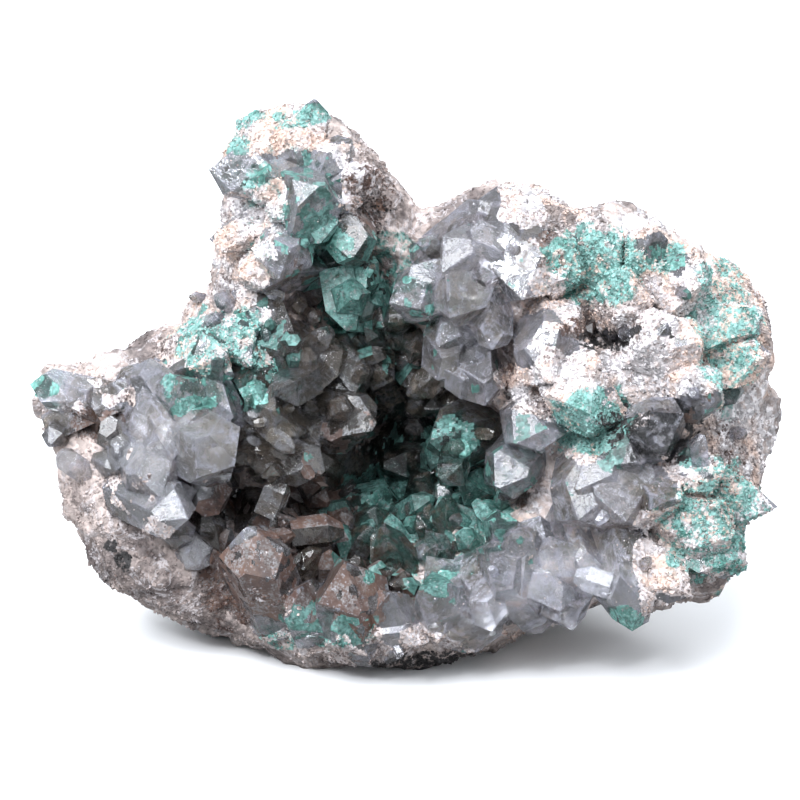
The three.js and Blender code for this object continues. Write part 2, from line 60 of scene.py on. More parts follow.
# Stains and painted shade seen on the broken face: middle u, v and half sizes in millimetres, and strength
GREEN_PATCHES = (
    (-25.3, 88.6, 3.0, 2.5, 0.8), (-18.2, 87.5, 3.5, 2.0, 0.7), (-13.8, 88.8, 2.5, 2.0, 0.9),
    (-26.2, 83.5, 2.0, 2.5, 0.8), (-23.0, 78.7, 3.0, 2.4, 0.8), (-14.6, 75.4, 5.0, 5.5, 0.52),
    (-12.5, 68.2, 4.4, 4.4, 1.0), (-6.4, 61.4, 2.6, 3.0, 1.0), (-9.0, 57.0, 4.0, 3.4, 1.0),
    (-27.8, 51.0, 10.0, 8.0, 0.62), (-23.7, 44.5, 2.6, 3.0, 0.9), (-33.0, 45.0, 5.0, 4.0, 0.6),
    (-3.5, 29.6, 4.8, 4.6, 0.9), (7.5, 37.3, 5.2, 4.8, 1.0), (5.3, 14.7, 2.4, 2.4, 1.0),
    (13.9, 24.3, 3.8, 2.4, 0.9), (29.8, 64.3, 8.4, 6.6, 0.8), (40.0, 66.0, 5.0, 3.0, 0.6),
    (50.6, 54.5, 6.5, 13.0, 0.58), (29.8, 40.0, 6.4, 6.0, 1.0), (48.5, 25.0, 9.5, 11.0, 0.62),
    (34.6, 8.3, 3.0, 3.0, 1.0), (-57.0, 45.5, 3.0, 2.0, 0.9), (3.0, 27.0, 14.0, 13.0, 0.6),
    (-4.0, 60.0, 10.0, 12.0, 0.5), (22.0, 36.0, 6.0, 6.0, 0.35), (-12.0, 8.0, 8.0, 4.0, 0.5),
    (-19.0, 7.0, 5.0, 3.0, 0.5), (-18.0, 72.0, 9.0, 12.0, 0.36),
)
RUST_PATCHES = (
    (-4.8, 75.5, 4.8, 5.8, 0.8), (-48.6, 39.4, 4.6, 3.2, 1.0), (-21.4, 16.0, 5.4, 9.0, 0.9),
    (-8.0, 13.1, 6.2, 6.8, 0.9), (-8.3, 38.4, 5.2, 4.4, 0.6), (22.6, 68.7, 2.0, 1.8, 1.0),
    (51.4, 31.5, 4.2, 7.2, 0.5), (27.0, 55.0, 3.0, 2.0, 0.7), (-30.0, 27.0, 4.0, 3.0, 0.9),
    (-14.0, 26.0, 8.0, 4.0, 0.8), (-10.0, 20.0, 16.0, 12.0, 0.65), (-16.0, 62.0, 3.0, 6.0, 0.5),
    (49.0, 40.0, 5.0, 8.0, 0.42), (47.0, 27.0, 4.0, 6.0, 0.45), (-52.0, 12.0, 4.0, 6.0, 0.4),
    (22.0, 66.0, 4.0, 4.0, 0.5), (-27.0, 14.5, 6.0, 7.0, 1.0),
)
PALE_PATCHES = (
    (-20.0, 84.0, 9.0, 7.0, 0.85), (-29.5, 79.0, 4.0, 4.5, 1.0), (-29.0, 69.6, 4.0, 5.0, 1.0),
    (35.4, 49.6, 6.0, 4.0, 1.0), (45.8, 46.7, 6.0, 4.0, 1.0), (23.5, 45.9, 9.0, 4.2, 1.0),
    (41.4, 17.1, 4.0, 4.2, 1.0), (20.5, 76.0, 5.0, 3.0, 1.0), (-30.0, 55.0, 8.0, 6.0, 0.9),
    (50.0, 60.0, 8.0, 12.0, 1.0), (33.0, 66.0, 10.0, 6.0, 1.0), (50.0, 30.0, 8.0, 12.0, 0.9),
    (30.0, 40.0, 8.0, 6.0, 0.9), (20.0, 16.0, 10.0, 6.0, 0.9), (52.0, 44.0, 5.0, 6.0, 1.0),
    (40.0, 72.0, 8.0, 3.0, 1.0), (-24.0, 62.0, 6.0, 8.0, 1.0), (38.0, 46.0, 24.0, 36.0, 0.62),
    (-20.0, 76.0, 13.0, 18.0, 1.0), (-27.0, 53.0, 12.0, 10.0, 0.85), (55.0, 38.0, 6.0, 20.0, 0.9),
    (20.0, 17.0, 18.0, 12.0, 0.8),
)
# Dark patches: painted shade in the hollow, its deep pit, pockets and slots and under the lower rim; the dark
# crystal on the right in its own colour; and a few small dark spots elsewhere
SHADE_AND_DARK_PATCHES = (
    (31.4, 53.1, 4.2, 1.8, 1.0), (39.5, 38.5, 8.5, 5.0, 1.0), (3.4, 1.9, 10.0, 2.0, 1.0),
    (0.0, 36.0, 8.0, 8.0, 1.0), (-46.6, 20.4, 1.2, 1.4, 1.3), (-44.9, 18.0, 1.5, 1.6, 1.3),
    (-28.0, 27.0, 5.0, 2.4, 1.0), (-4.0, 50.0, 5.0, 7.0, 0.7), (-19.0, 26.5, 5.0, 2.4, 1.0),
    (-6.0, 30.0, 16.0, 7.0, 0.45), (0.0, 18.0, 16.0, 9.0, 0.35), (-4.5, 72.5, 4.0, 4.5, 0.5),
)

# The hollow: middle u, v, half sizes and strength
HOLLOW = (-3.0, 36.0, 24.0, 27.0, 1.0)

# Where the granular crust lies: middle u, v, half sizes, and how thick with grains it is
CRUST_AREAS = (
    (31, 63, 13, 9, 1.0), (50, 56, 9, 13, 1.0), (40, 49, 12, 5, 1.0), (24, 46, 9, 5, 0.9),
    (30, 40, 7, 6, 0.8), (48, 24, 10, 11, 1.0), (52, 35, 7, 8, 1.0), (41, 17, 6, 6, 0.9),
    (-20, 86, 8, 5, 1.0), (-22, 74, 4, 5, 0.8), (-6, 78, 5, 8, 0.7), (-26, 66, 5, 7, 0.9),
    (-46, 22, 13, 15, 0.4), (-30, 10, 15, 7, 0.4), (-50, 43, 9, 6, 0.4), (-31, 53, 11, 6, 0.6),
    (22, 74, 9, 4, 0.9), (0, 4, 16, 4, 0.6),
)

# The crust is laid in four pieces that meet at this u, v
CRUST_SPLIT = (2.0, 45.0)

# Where young crystals stand thick, in the hollow and outside it: middle u, v, half sizes, and how thick
YOUNG_AREAS = (
    (-11, 55, 8, 11, 0.9), (6, 53, 9, 9, 0.9), (10, 30, 10, 9, 0.9), (-6, 20, 19, 9, 0.9),
    (-20, 38, 9, 8, 0.8),
)
OUTER_AREAS = (
    (-27, 52, 12, 9, 1.0), (-38, 40, 17, 10, 0.8), (19, 24, 15, 11, 1.0), (31, 30, 12, 10, 0.6),
    (14, 62, 12, 10, 0.7), (-16, 76, 11, 12, 0.6), (36, 60, 14, 12, 0.3), (24, 12, 12, 7, 0.8),
    (46, 40, 8, 14, 0.2),
)

# Where larger crystals stand in the hollow and on its rim, and the whole face
HOLLOW_AREAS = (
    (-7, 20, 20, 9, 1.0), (9, 28, 10, 9, 1.0), (-13, 52, 8, 12, 0.8), (5, 53, 8, 9, 0.8),
    (-22, 31, 8, 6, 0.8),
)
RIM_AREAS = (
    (-36, 26, 6, 6, 1.0), (-33, 19, 4, 5, 1.0), (-44, 33, 6, 4, 0.7), (18, 20, 8, 4, 0.6),
)
EVERYWHERE = ((0, 45, 200, 200, 1.0),)

# The crystal groups: solid, looks, body and seed
GROUPS = {
    "hollow_crust": ("hollow_lining", "dark_crystal", 11),
    "pinnacle_crystals": ("pinnacle_cluster", "pale_crystal", 12),
    "left_shoulder_crystals": ("left_shoulder_cluster", "pale_crystal", 13),
    "right_shoulder_crystals": ("right_shoulder_cluster", "smoky_crystal", 14),
    "right_flank_crystals": ("right_flank_cluster", "smoky_crystal", 15),
    "right_crest_crystals": ("right_crest_cluster", "smoky_crystal", 16),
    "lower_lip_crystals": ("lower_lip_cluster", "pale_crystal", 17),
}


# Edges of stains, painted shade and growing areas: where they fade, how far they wander, and bump sizes in
# millimetres
PATCH_FADE = (1.25, 0.7)
PATCH_WANDER = 0.5
STAIN_BUMPS = 3.5
AREA_BUMPS = 5.0
HOLLOW_BUMPS = 4.0

# Painted shade: the hollow darkens between these depths in millimetres, up to this share, and its rock takes
# this much rust stain and painted shade
HOLLOW_SHADE = (-5.0, -16.0)
HOLLOW_SHADE_SHARE = 0.85
HOLLOW_ROCK_STAIN_AND_SHADE = 0.6

# How far surfaces must look out of the broken face for each thing to lie on them
BREAK_FACES = (0.15, -0.3)
STAIN_FACES = (-0.35, 0.1)
YOUNG_FACES = (0.25, 0.6)
CRUST_FACES = (-0.45, 0.0)
DUST_FACES = (-0.3, 0.6)

# Crust on crystals: fade, raggedness and bump size in millimetres, then the least and most crust on rock
CRUST_FADE = (0.42, 0.62)
CRUST_RAGGED = 0.45
CRUST_BUMPS = 3.0
BARE_CRUST = 0.1
FULL_CRUST = 0.9

# Dust: slopes, depths and patches that it lies on, size of the patches, and the least everywhere
DUST_SLOPES = (-0.5, 0.7)
DUST_DEPTHS = (-14.0, 0.0)
DUST_FADE = (0.35, 0.6)
DUST_BUMPS = 2.6
DUST_ON_PALE = 0.3
LEAST_DUST = 0.02

# Coats on crystal faces: share and bump size of broad and fine patches, chances, and how far a coat reaches
BROAD_COAT = (0.6, 2.4)
FINE_COAT = (0.12, 0.9)
COAT_LEAST = 0.3
COAT_BY_FACE = 0.4
COAT_REACH = 0.75
CRUST_COAT_LEAST = 0.5

# Scattered shapes, about one unit long
YOUNG_PRISM, YOUNG_MIDDLE, YOUNG_POINT, SIDE_LEAN = 0.85, 0.175, 0.4, 0.5
GRAIN_RADIUS, GRAIN_LENGTH, GRAIN_CROOKED = 0.55, 0.8, 0.22
SPECK_RADIUS, SPECK_LENGTH, SPECK_CROOKED = 0.6, 0.9, 0.25
SPECK_SIDES = 3
SPECK_SEEDS = {"speck_one": 2, "speck_two": 6}
UPWARD = 0.9
SIZE_SKEW = 2.0

# Young crystals: sides, radius, size of the point and its lean
YOUNG_SHAPES = {
    "young_six": (6, 0.40, (0.45, 0.20, 1.0), 0.04),
    "young_blunt": (6, 0.50, (0.62, 0.50, 1.0), -0.08),
    "young_four": (4, 0.48, (0.45, 0.15, 1.0), 0.10),
    "young_five": (5, 0.43, (0.30, 0.25, 1.0), -0.04),
}

# Grains: sides, seed and stretch
GRAIN_SHAPES = {
    "grain_even": (4, 3, (1.0, 1.0, 1.0)),
    "grain_flat": (3, 5, (1.25, 1.0, 0.8)),
    "grain_long": (3, 8, (0.9, 0.9, 1.4)),
}

# Angles: tilt of young crystals, edges that chip, edges that stay sharp
YOUNG_TILT = math.radians(38)
CHIPPED_ANGLE = math.radians(22)
SHARP_ANGLE = math.radians(32)

# Roughening textures: kind, size of the bumps, and the level that stays where it is
TEXTURES = {
    "Breaks": ("VORONOI", 0.012, 0.45),
    "Lumps": ("CLOUDS", 0.007, 0.35),
    "Chips": ("CLOUDS", 0.0026, 0.4),
    "Pits": ("VORONOI", 0.0018, 0.5),
    "Uneven Faces": ("CLOUDS", 0.004, 0.5),
}
CLOUD_DEPTH = 2
PIT_SHARE = 0.5
MERGE_DISTANCE = 2e-6
FACET_SCALE = 0.98

# A chance for each way that a face can look
WAY_STEPS = 2.5
WAY_MIX = (12.9898, 78.233, 37.719)
WAY_SPREAD = 43758.5453

# Seeds of the scattered things, after the young crystals
CRUST_SEED = 20
DUST_SEED = 40

# Noise patterns of the finishes: scale, detail, roughness, twist, where they begin and end, and strength
PATTERNS = {
    "cloud": (85.0, 9.0, 0.72, 0.3, 0.38, 0.60, 1.0),
    "peach": (130.0, 3.0, 0.6, 0.0, 0.41, 0.58, 0.9),
    "rust specks": (760.0, 2.0, 0.6, 0.0, 0.62, 0.70, 0.7),
    "cast": (90.0, 3.0, 0.6, 0.0, 0.42, 0.66, 0.85),
    "depth": (120.0, 2.0, 0.5, 0.0, 0.36, 0.62, 1.0),
    "wisps": (300.0, 9.0, 0.74, 1.4, 0.49, 0.61, 1.0),
    "white specks": (1400.0, 3.0, 0.7, 0.0, 0.60, 0.68, 0.8),
    "ragged": (620.0, 4.0, 0.7, 0.0, 0.46, 0.58, 1.0),
    "coarse green": (1.0, 5.0, 0.65, 0.5, 0.36, 0.64, 1.0),
    "fine green": (3.7, 4.0, 0.75, 0.0, 0.40, 0.62, 0.9),
    "green crumbs": (6.5, 2.0, 0.6, 0.0, 0.62, 0.70, 0.6),
    "coarse brown": (1.0, 5.0, 0.65, 0.5, 0.32, 0.6, 1.0),
    "brown crumbs": (7.0, 3.0, 0.7, 0.0, 0.57, 0.67, 0.5),
    "druse patches": (0.7, 3.0, 0.6, 0.0, 0.46, 0.58, 0.85),
    "druse grains": (9.0, 3.0, 0.7, 0.0, 0.44, 0.58, 1.0),
    "worn": (2.1, 4.0, 0.7, 0.0, 0.56, 0.7, 0.8),
}

# Edges of the stains and the painted shade: scale of the break-up and its step from mask to mask, shift, a
# grain's own chance, and fade
STAIN_SCALE, STAIN_SCALE_STEP = 380.0, 90.0
STAIN_DETAIL, STAIN_ROUGHNESS = 7.0, 0.72
STAIN_RANGE = (0.25, 0.75)
STAIN_SHIFT = 0.6
STAIN_LUCK = 0.34
LUCK_STEP = 3.7
STAIN_REACH = (0.1, 0.6)
STAIN_FADE = (0.35, 0.75)

# Rock finishes: pale veins, powder on pale crust, scales of the browns and greens, tones and relief
VEIN_SCALE, VEIN_DETAIL, VEIN_ROUGHNESS, VEIN_TWIST = 120.0, 6.0, 0.7, 1.0
VEIN_MIDDLE, VEIN_WIDTH, VEIN_STRENGTH = 0.5, 0.03, 0.6
POWDER_SHARE = 0.4
ROCK_BROWN, GREEN_SCALE, BROWN_SCALE = 420.0, 330.0, 260.0
WHITE_TONES = (0.75, 1.1)
ROCK_TONES = (0.72, 1.15)
ROCK_ROUGHEST = 0.9
ROCK_RELIEF = (0.5, 0.0006)

# Crystal finishes: index, roughness from clear to veiled, bloom, thin stains, tones, darkest under painted
# shade and the dark crystal's patch, grain and relief
CRYSTAL_IOR = 1.62
CRYSTAL_ROUGHNESS = (0.02, 0.26)
BLOOM_SHARE = 0.85
THIN_STAIN = 0.8
DEPTH_TONES = (0.6, 1.05)
CRYSTAL_TONES = (0.6, 1.08)
CRYSTAL_DARKEST_IN_SHADE_AND_DARK = 0.16
CRYSTAL_GRAIN = 1300.0
CRYSTAL_RELIEF = (0.3, 0.0004)

# Coat finishes: tones, darkest under painted shade and the dark patches, roughness, clear coat's roughness,
# scale of grain and relief
COAT_TONES = (0.5, 1.15)
COAT_DARKEST_IN_SHADE_AND_DARK = 0.42
COAT_ROUGHNESS = 0.6
GLAZE_ROUGHNESS = 0.12
COAT_GRAIN = 900.0
COAT_RELIEF = (0.25, 0.0004)
EVEN_CHANCE = 0.5
GRAIN_DETAIL, GRAIN_ROUGHNESS = 4.0, 0.65

# Crust finishes: scale of the grain, whether each grain has a tone of its own, and the least roughness
CRUST_FINISHES = {
    "rock_surface": (1100.0, False, 0.55),
    "crust_grain": (1500.0, True, 0.25),
    "crust_coat": (1300.0, False, 0.5),
    "white_dust": (1500.0, True, 0.3),
}

# Clear finishes: share of light let through, and share of the smoke
CLEAR_FINISHES = {"pale_crystal": (0.84, 0.2), "smoky_crystal": (0.85, 0.35), "dark_crystal": (0.86, 1.2)}

# Coats, in the order of a cluster's material slots: roughness where worn, and weight of the clear coat
COAT_FINISHES = {"green_coat": (0.3, 0.25), "brown_coat": (0.2, 0.45)}
COATS = ("green_coat", "brown_coat", "crust_coat")
GREEN_SLOT, BROWN_SLOT, CRUST_SLOT = 1, 2, 3

# Stage: what the camera looks at on the face, sensor, farthest view, floor, sky and light colours, exposure
FOCUS = (-0.64, 43.5, 0.0)
SENSOR_WIDTH = 36.0
FARTHEST = 20.0
FLOOR_SIZE = 6.0
FLOOR_ROUGHNESS = 0.9
FLOOR_LIT, FLOOR_SEEN = (0.3, 0.3, 0.3, 1.0), (0.92, 0.92, 0.92, 1.0)
SKY_LOW, SKY_HIGH = (0.10, 0.10, 0.105, 1.0), (0.88, 0.94, 1.0, 1.0)
SKY_HEIGHTS = (-0.2, 0.9)
BACKDROP = (1.0, 1.0, 1.0, 1.0)
LIGHT_COLOUR = (0.92, 0.95, 1.0)
EXPOSURE = 0.39

# Lights: size, and place from what the camera looks at
LIGHTS = {
    "key": (0.75, (-0.22, -0.45, 0.68)),
    "rim": (0.4, (0.30, 0.55, 0.65)),
    "fill": (0.7, (0.75, -0.55, 0.25)),
    "spark": (0.1, (-0.35, -0.60, 0.50)),
}


# Settings

def length(name, description, default):
    return FloatProperty(name=name, description=description, default=default, unit="LENGTH")


def factor(name, description, default):
    return FloatProperty(name=name, description=description, default=default, subtype="FACTOR")


def number(name, description, default):
    return FloatProperty(name=name, description=description, default=default)


def wattage(name, description, default):
    return FloatProperty(name=name, description=description, default=default, unit="POWER")


def tint(name, description, default):
    return FloatVectorProperty(name=name, description=description, default=default, subtype="COLOR")


class SpecimenShape(bpy.types.PropertyGroup):
    """Sizes of the rock's roughness and of what grows on it"""

    rock_fineness: length("Rock Fineness", "Size of the rock surface's cells", 0.00068)
    lump_height: length("Lump Height", "Height of the rock's lumps", 0.0022)
    break_height: length("Break Height", "Height of the breaks on its back", 0.0032)
    chip_height: length("Chip Height", "Height of its chips and pits", 0.0015)
    facet_fineness: length("Facet Fineness", "Size of the cells of a crystal's faces", 0.0005)
    edge_wear: factor("Edge Wear", "How far the crystals' edges are rounded", 0.2)
    unevenness: length("Unevenness", "Waviness of the crystals' faces", 0.00018)
    young_small: length("Smallest Young Crystal", "Length of the smallest", 0.0016)
    young_large: length("Largest Young Crystal", "Length of the largest", 0.0050)
    grain_small: length("Smallest Grain", "Width of the smallest grain", 0.00024)
    grain_large: length("Largest Grain", "Width of the largest grain", 0.00066)
    speck_small: length("Smallest Speck", "Width of the smallest speck of dust", 0.00014)
    speck_large: length("Largest Speck", "Width of the largest speck of dust", 0.00036)
    young_density: number("Young Crystals", "Young crystals on a square millimetre", 0.035)
    hollow_small: length("Smallest Hollow Crystal", "Length of the smallest", 0.0034)
    hollow_large: length("Largest Hollow Crystal", "Length of the largest", 0.0085)
    hollow_share: number("Hollow Crystals", "How many there are for each young crystal", 1.6)
    side_share: factor("Side Crystals", "Share of young crystals on the large ones", 0.12)
    grain_density: number("Grains", "Grains on a square millimetre of crust", 4.0)
    dust_density: number("Dust", "White specks on a square millimetre of crystal", 1.2)
    floor_gap: length("Floor Gap", "Height below which no crystal grows", 0.006)
    seed: IntProperty(name="Seed", description="Changes every scattered thing", default=7)


class SpecimenColours(bpy.types.PropertyGroup):
    """Colours of the rock, the crystals, their stains and the painted shade"""

    rock_grey: tint("Rock Grey", "Host rock", (0.13, 0.105, 0.10))
    rock_pink: tint("Rock Pink", "Paler, pinker host rock", (0.47, 0.39, 0.36))
    pale: tint("Pale Crust", "White granular crust", (0.575, 0.54, 0.555))
    bright: tint("Bright Crust", "Lightest grains", (0.63, 0.60, 0.61))
    peach: tint("Peach Crust", "Pinker granular crust", (0.60, 0.44, 0.365))
    rust: tint("Rust", "Iron stain", (0.13, 0.073, 0.052))
    red_brown: tint("Red Brown", "Deeper iron stain", (0.068, 0.038, 0.031))
    green_pale: tint("Pale Green", "Powdery copper stain", (0.19, 0.40, 0.365))
    green_mid: tint("Green", "Copper coat", (0.072, 0.215, 0.18))
    green_deep: tint("Deep Green", "Thick copper coat", (0.022, 0.078, 0.066))
    powder: tint("Green Powder", "Copper bloom on white crust", (0.33, 0.54, 0.51))
    # shadow is painted shade that the dark mask lays on rock and crust in the hollow, its pits and slots
    shadow: tint("Painted Shade", "Dark pits and slots", (0.022, 0.02, 0.02))
    pale_body: tint("Pale Crystal", "Clear grey crystal", (0.88, 0.88, 0.91))
    smoky_body: tint("Smoky Crystal", "Smoky grey crystal", (0.68, 0.67, 0.70))
    dark_body: tint("Dark Crystal", "Brown smoky crystal", (0.30, 0.25, 0.21))
    veil: tint("Veil", "White wisps on crystal faces", (0.87, 0.87, 1.0))
    frost: tint("Frost", "White bloom on crystal faces", (0.40, 0.40, 0.43))
    worn: tint("Worn Coat", "Grey that shows through a coat", (0.20, 0.19, 0.19))
    tinge: tint("Tinge", "Brown cast in parts of a crystal", (0.46, 0.40, 0.32))
    smoke: tint("Smoke", "What the crystal lets through", (0.50, 0.50, 0.54))
    smoke_density: number("Smoke Density", "How fast a smoky crystal takes up light", 50.0)


class SpecimenStage(bpy.types.PropertyGroup):
    """Camera and light"""

    distance: length("Camera Distance", "From the broken face", 0.9)
    frame_width: length("Frame Width", "What the picture spans at the face", 0.128)
    key_power: wattage("Key Light", "Soft light from above", 13.0)
    rim_power: wattage("Rim Light", "Cool light from above and behind", 2.5)
    spark_power: wattage("Spark Light", "Small light for glints on the facets", 1.6)
    fill_power: wattage("Fill Light", "Soft light from the right", 2.0)


# Places on the broken face

def face_place(points):
    """u, v and d in millimetres of an array of points"""
    off = (points - np.array(FACE_ORIGIN)) / MM
    up = math.sin(LEAN) * off[:, 1] + math.cos(LEAN) * off[:, 2]
    out = math.sin(LEAN) * off[:, 2] - math.cos(LEAN) * off[:, 1]
    return off[:, 0], up, out


def point_on_face(across, up, out):
    """The point at u, v, d"""
    back = math.sin(LEAN) * up - math.cos(LEAN) * out
    rise = math.cos(LEAN) * up + math.sin(LEAN) * out
    return Vector(FACE_ORIGIN) + Vector((across, back, rise)) * MM


def facing(normals):
    """How far normals look out of the broken face, from -1 to 1"""
    return math.sin(LEAN) * normals[:, 2] - math.cos(LEAN) * normals[:, 1]


def smooth_step(low, high, values):
    share = np.clip((values - low) / (high - low), 0.0, 1.0)
    return share * share * (3.0 - 2.0 * share)


def wandering(points, size):
    """Smooth noise over the points, from -1 to 1, with bumps of that size in millimetres"""
    scaled = points / (size * MM)
    return np.array([noise.noise(Vector(p)) for p in scaled])


def within(patches, across, up, wander):
    """How far each place lies inside any of the patches, from 0 to 1, with wandering edges"""
    inside = np.zeros(len(across))
    for middle_u, middle_v, half_u, half_v, strength in patches:
        away = np.hypot((across - middle_u) / half_u, (up - middle_v) / half_v)
        inside = np.maximum(inside, strength * smooth_step(*PATCH_FADE, away + PATCH_WANDER * wander))
    return inside


def stain_and_shade_masks(points):
    """Green, rust and pale stain masks, and the dark mask of mostly painted shade, of an array of points"""
    across, up, out = face_place(points)
    wander = wandering(points, STAIN_BUMPS)
    families = (GREEN_PATCHES, RUST_PATCHES, PALE_PATCHES, SHADE_AND_DARK_PATCHES)
    masks = np.stack([within(patches, across, up, wander) for patches in families], axis=1)
    # Painted shade: the dark mask deepens towards the back of the hollow
    deep = within((HOLLOW,), across, up, wander) * smooth_step(*HOLLOW_SHADE, out)
    masks[:, 3] = np.maximum(masks[:, 3], HOLLOW_SHADE_SHARE * deep)
    return masks


# Meshes

def mesh_points(mesh):
    flat = np.empty(len(mesh.vertices) * 3)
    mesh.vertices.foreach_get("co", flat)
    return flat.reshape(-1, 3)


def mesh_normals(mesh):
    flat = np.empty(len(mesh.vertices) * 3)
    mesh.vertex_normals.foreach_get("vector", flat)
    return flat.reshape(-1, 3)


# The stain attribute holds the green, rust and pale stains in its colour and the dark mask, mostly painted
# shade, in its alpha
def store_stain_and_shade(mesh, masks):
    layer = mesh.attributes.new("stain", "FLOAT_COLOR", "POINT")
    layer.data.foreach_set("color", masks.astype(np.float32).ravel())


def store_value(mesh, name, values):
    layer = mesh.attributes.new(name, "FLOAT", "POINT")
    layer.data.foreach_set("value", values.astype(np.float32))


def select_only(piece):
    bpy.ops.object.select_all(action="DESELECT")
    piece.select_set(True)
    bpy.context.view_layer.objects.active = piece


def new_object(name, mesh):
    piece = bpy.data.objects.new(name, mesh)
    bpy.context.scene.collection.objects.link(piece)
    select_only(piece)
    return piece


def node_copy(node, name):
    """A copy of a solid with its loose triangles merged"""
    piece = new_object(name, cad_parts[node].data.copy())
    piece.data.name = name
    piece.data.materials.clear()
    bpy.ops.object.mode_set(mode="EDIT")
    bpy.ops.mesh.select_all(action="SELECT")
    bpy.ops.mesh.remove_doubles(threshold=MERGE_DISTANCE)
    bpy.ops.object.mode_set(mode="OBJECT")
    return piece


def apply_modifier(piece, kind, name, **settings):
    modifier = piece.modifiers.new(name, kind)
    for key, value in settings.items():
        setattr(modifier, key, value)
    select_only(piece)
    bpy.ops.object.modifier_apply(modifier=name)


def roughen(piece, name, height, group=""):
    """Pushes the surface in and out by one of the textures"""
    kind, size, level = TEXTURES[name]
    texture = bpy.data.textures.new(name, kind)
    texture.noise_scale = size
    if kind == "CLOUDS":
        texture.noise_depth = CLOUD_DEPTH
    apply_modifier(
        piece, "DISPLACE", name, texture=texture, texture_coords="LOCAL", strength=height, mid_level=level,
        vertex_group=group)
    bpy.data.textures.remove(texture)


# Things that grow on a surface

def crystal_shape(name, sides, radius, tip, lean):
    """A small prism with a ridged point, standing on the origin with its root a little below"""
    bpy.ops.object.select_all(action="DESELECT")
    bpy.ops.mesh.primitive_cylinder_add(
        vertices=sides, radius=radius, depth=YOUNG_PRISM, location=(0, 0, YOUNG_MIDDLE))
    shape = bpy.context.object
    shape.name = name
    bpy.ops.object.transform_apply(location=True, rotation=True, scale=True)
    bpy.ops.object.mode_set(mode="EDIT")
    bpy.ops.mesh.select_all(action="DESELECT")
    bpy.ops.object.mode_set(mode="OBJECT")
    for polygon in shape.data.polygons:
        polygon.select = polygon.normal.z > UPWARD
    bpy.ops.object.mode_set(mode="EDIT")
    bpy.ops.mesh.select_mode(type="FACE")
    bpy.ops.mesh.extrude_region_move(
        TRANSFORM_OT_translate={"value": (lean, SIDE_LEAN * lean, YOUNG_POINT)})
    bpy.ops.transform.resize(value=tip)
    bpy.ops.object.mode_set(mode="OBJECT")
    return shape


def crooked(name, seed, amount, stretch):
    """The shape just added, stretched and with its corners pushed about"""
    shape = bpy.context.object
    shape.name = name
    bpy.ops.object.mode_set(mode="EDIT")
    bpy.ops.mesh.select_all(action="SELECT")
    if stretch:
        bpy.ops.transform.resize(value=stretch)
    bpy.ops.transform.vertex_random(offset=amount, seed=seed)
    bpy.ops.object.mode_set(mode="OBJECT")
    return shape


def grain_shape(name, sides, seed, stretch):
    """A crooked little block"""
    bpy.ops.object.select_all(action="DESELECT")
    bpy.ops.mesh.primitive_cylinder_add(vertices=sides, radius=GRAIN_RADIUS, depth=GRAIN_LENGTH)
    return crooked(name, seed, GRAIN_CROOKED, stretch)


def speck_shape(name, seed):
    """A crooked splinter"""
    bpy.ops.object.select_all(action="DESELECT")
    bpy.ops.mesh.primitive_cone_add(vertices=SPECK_SIDES, radius1=SPECK_RADIUS, depth=SPECK_LENGTH)
    return crooked(name, seed, SPECK_CROOKED, None)


def crystal_shapes():
    return [crystal_shape(name, *row) for name, row in YOUNG_SHAPES.items()]


def grain_shapes():
    return [grain_shape(name, *row) for name, row in GRAIN_SHAPES.items()]


def add_node(tree, kind, inputs=None, **settings):
    """A node with its settings, and its inputs set or linked"""
    made = tree.nodes.new(kind)
    for key, value in settings.items():
        setattr(made, key, value)
    for key, value in (inputs or {}).items():
        if isinstance(value, bpy.types.NodeSocket):
            tree.links.new(value, made.inputs[key])
        else:
            made.inputs[key].default_value = value
    return made


def calculated(tree, operation, *values):
    """The result of a sum of values or sockets"""
    return add_node(tree, "ShaderNodeMath", dict(enumerate(values)), operation=operation).outputs[0]


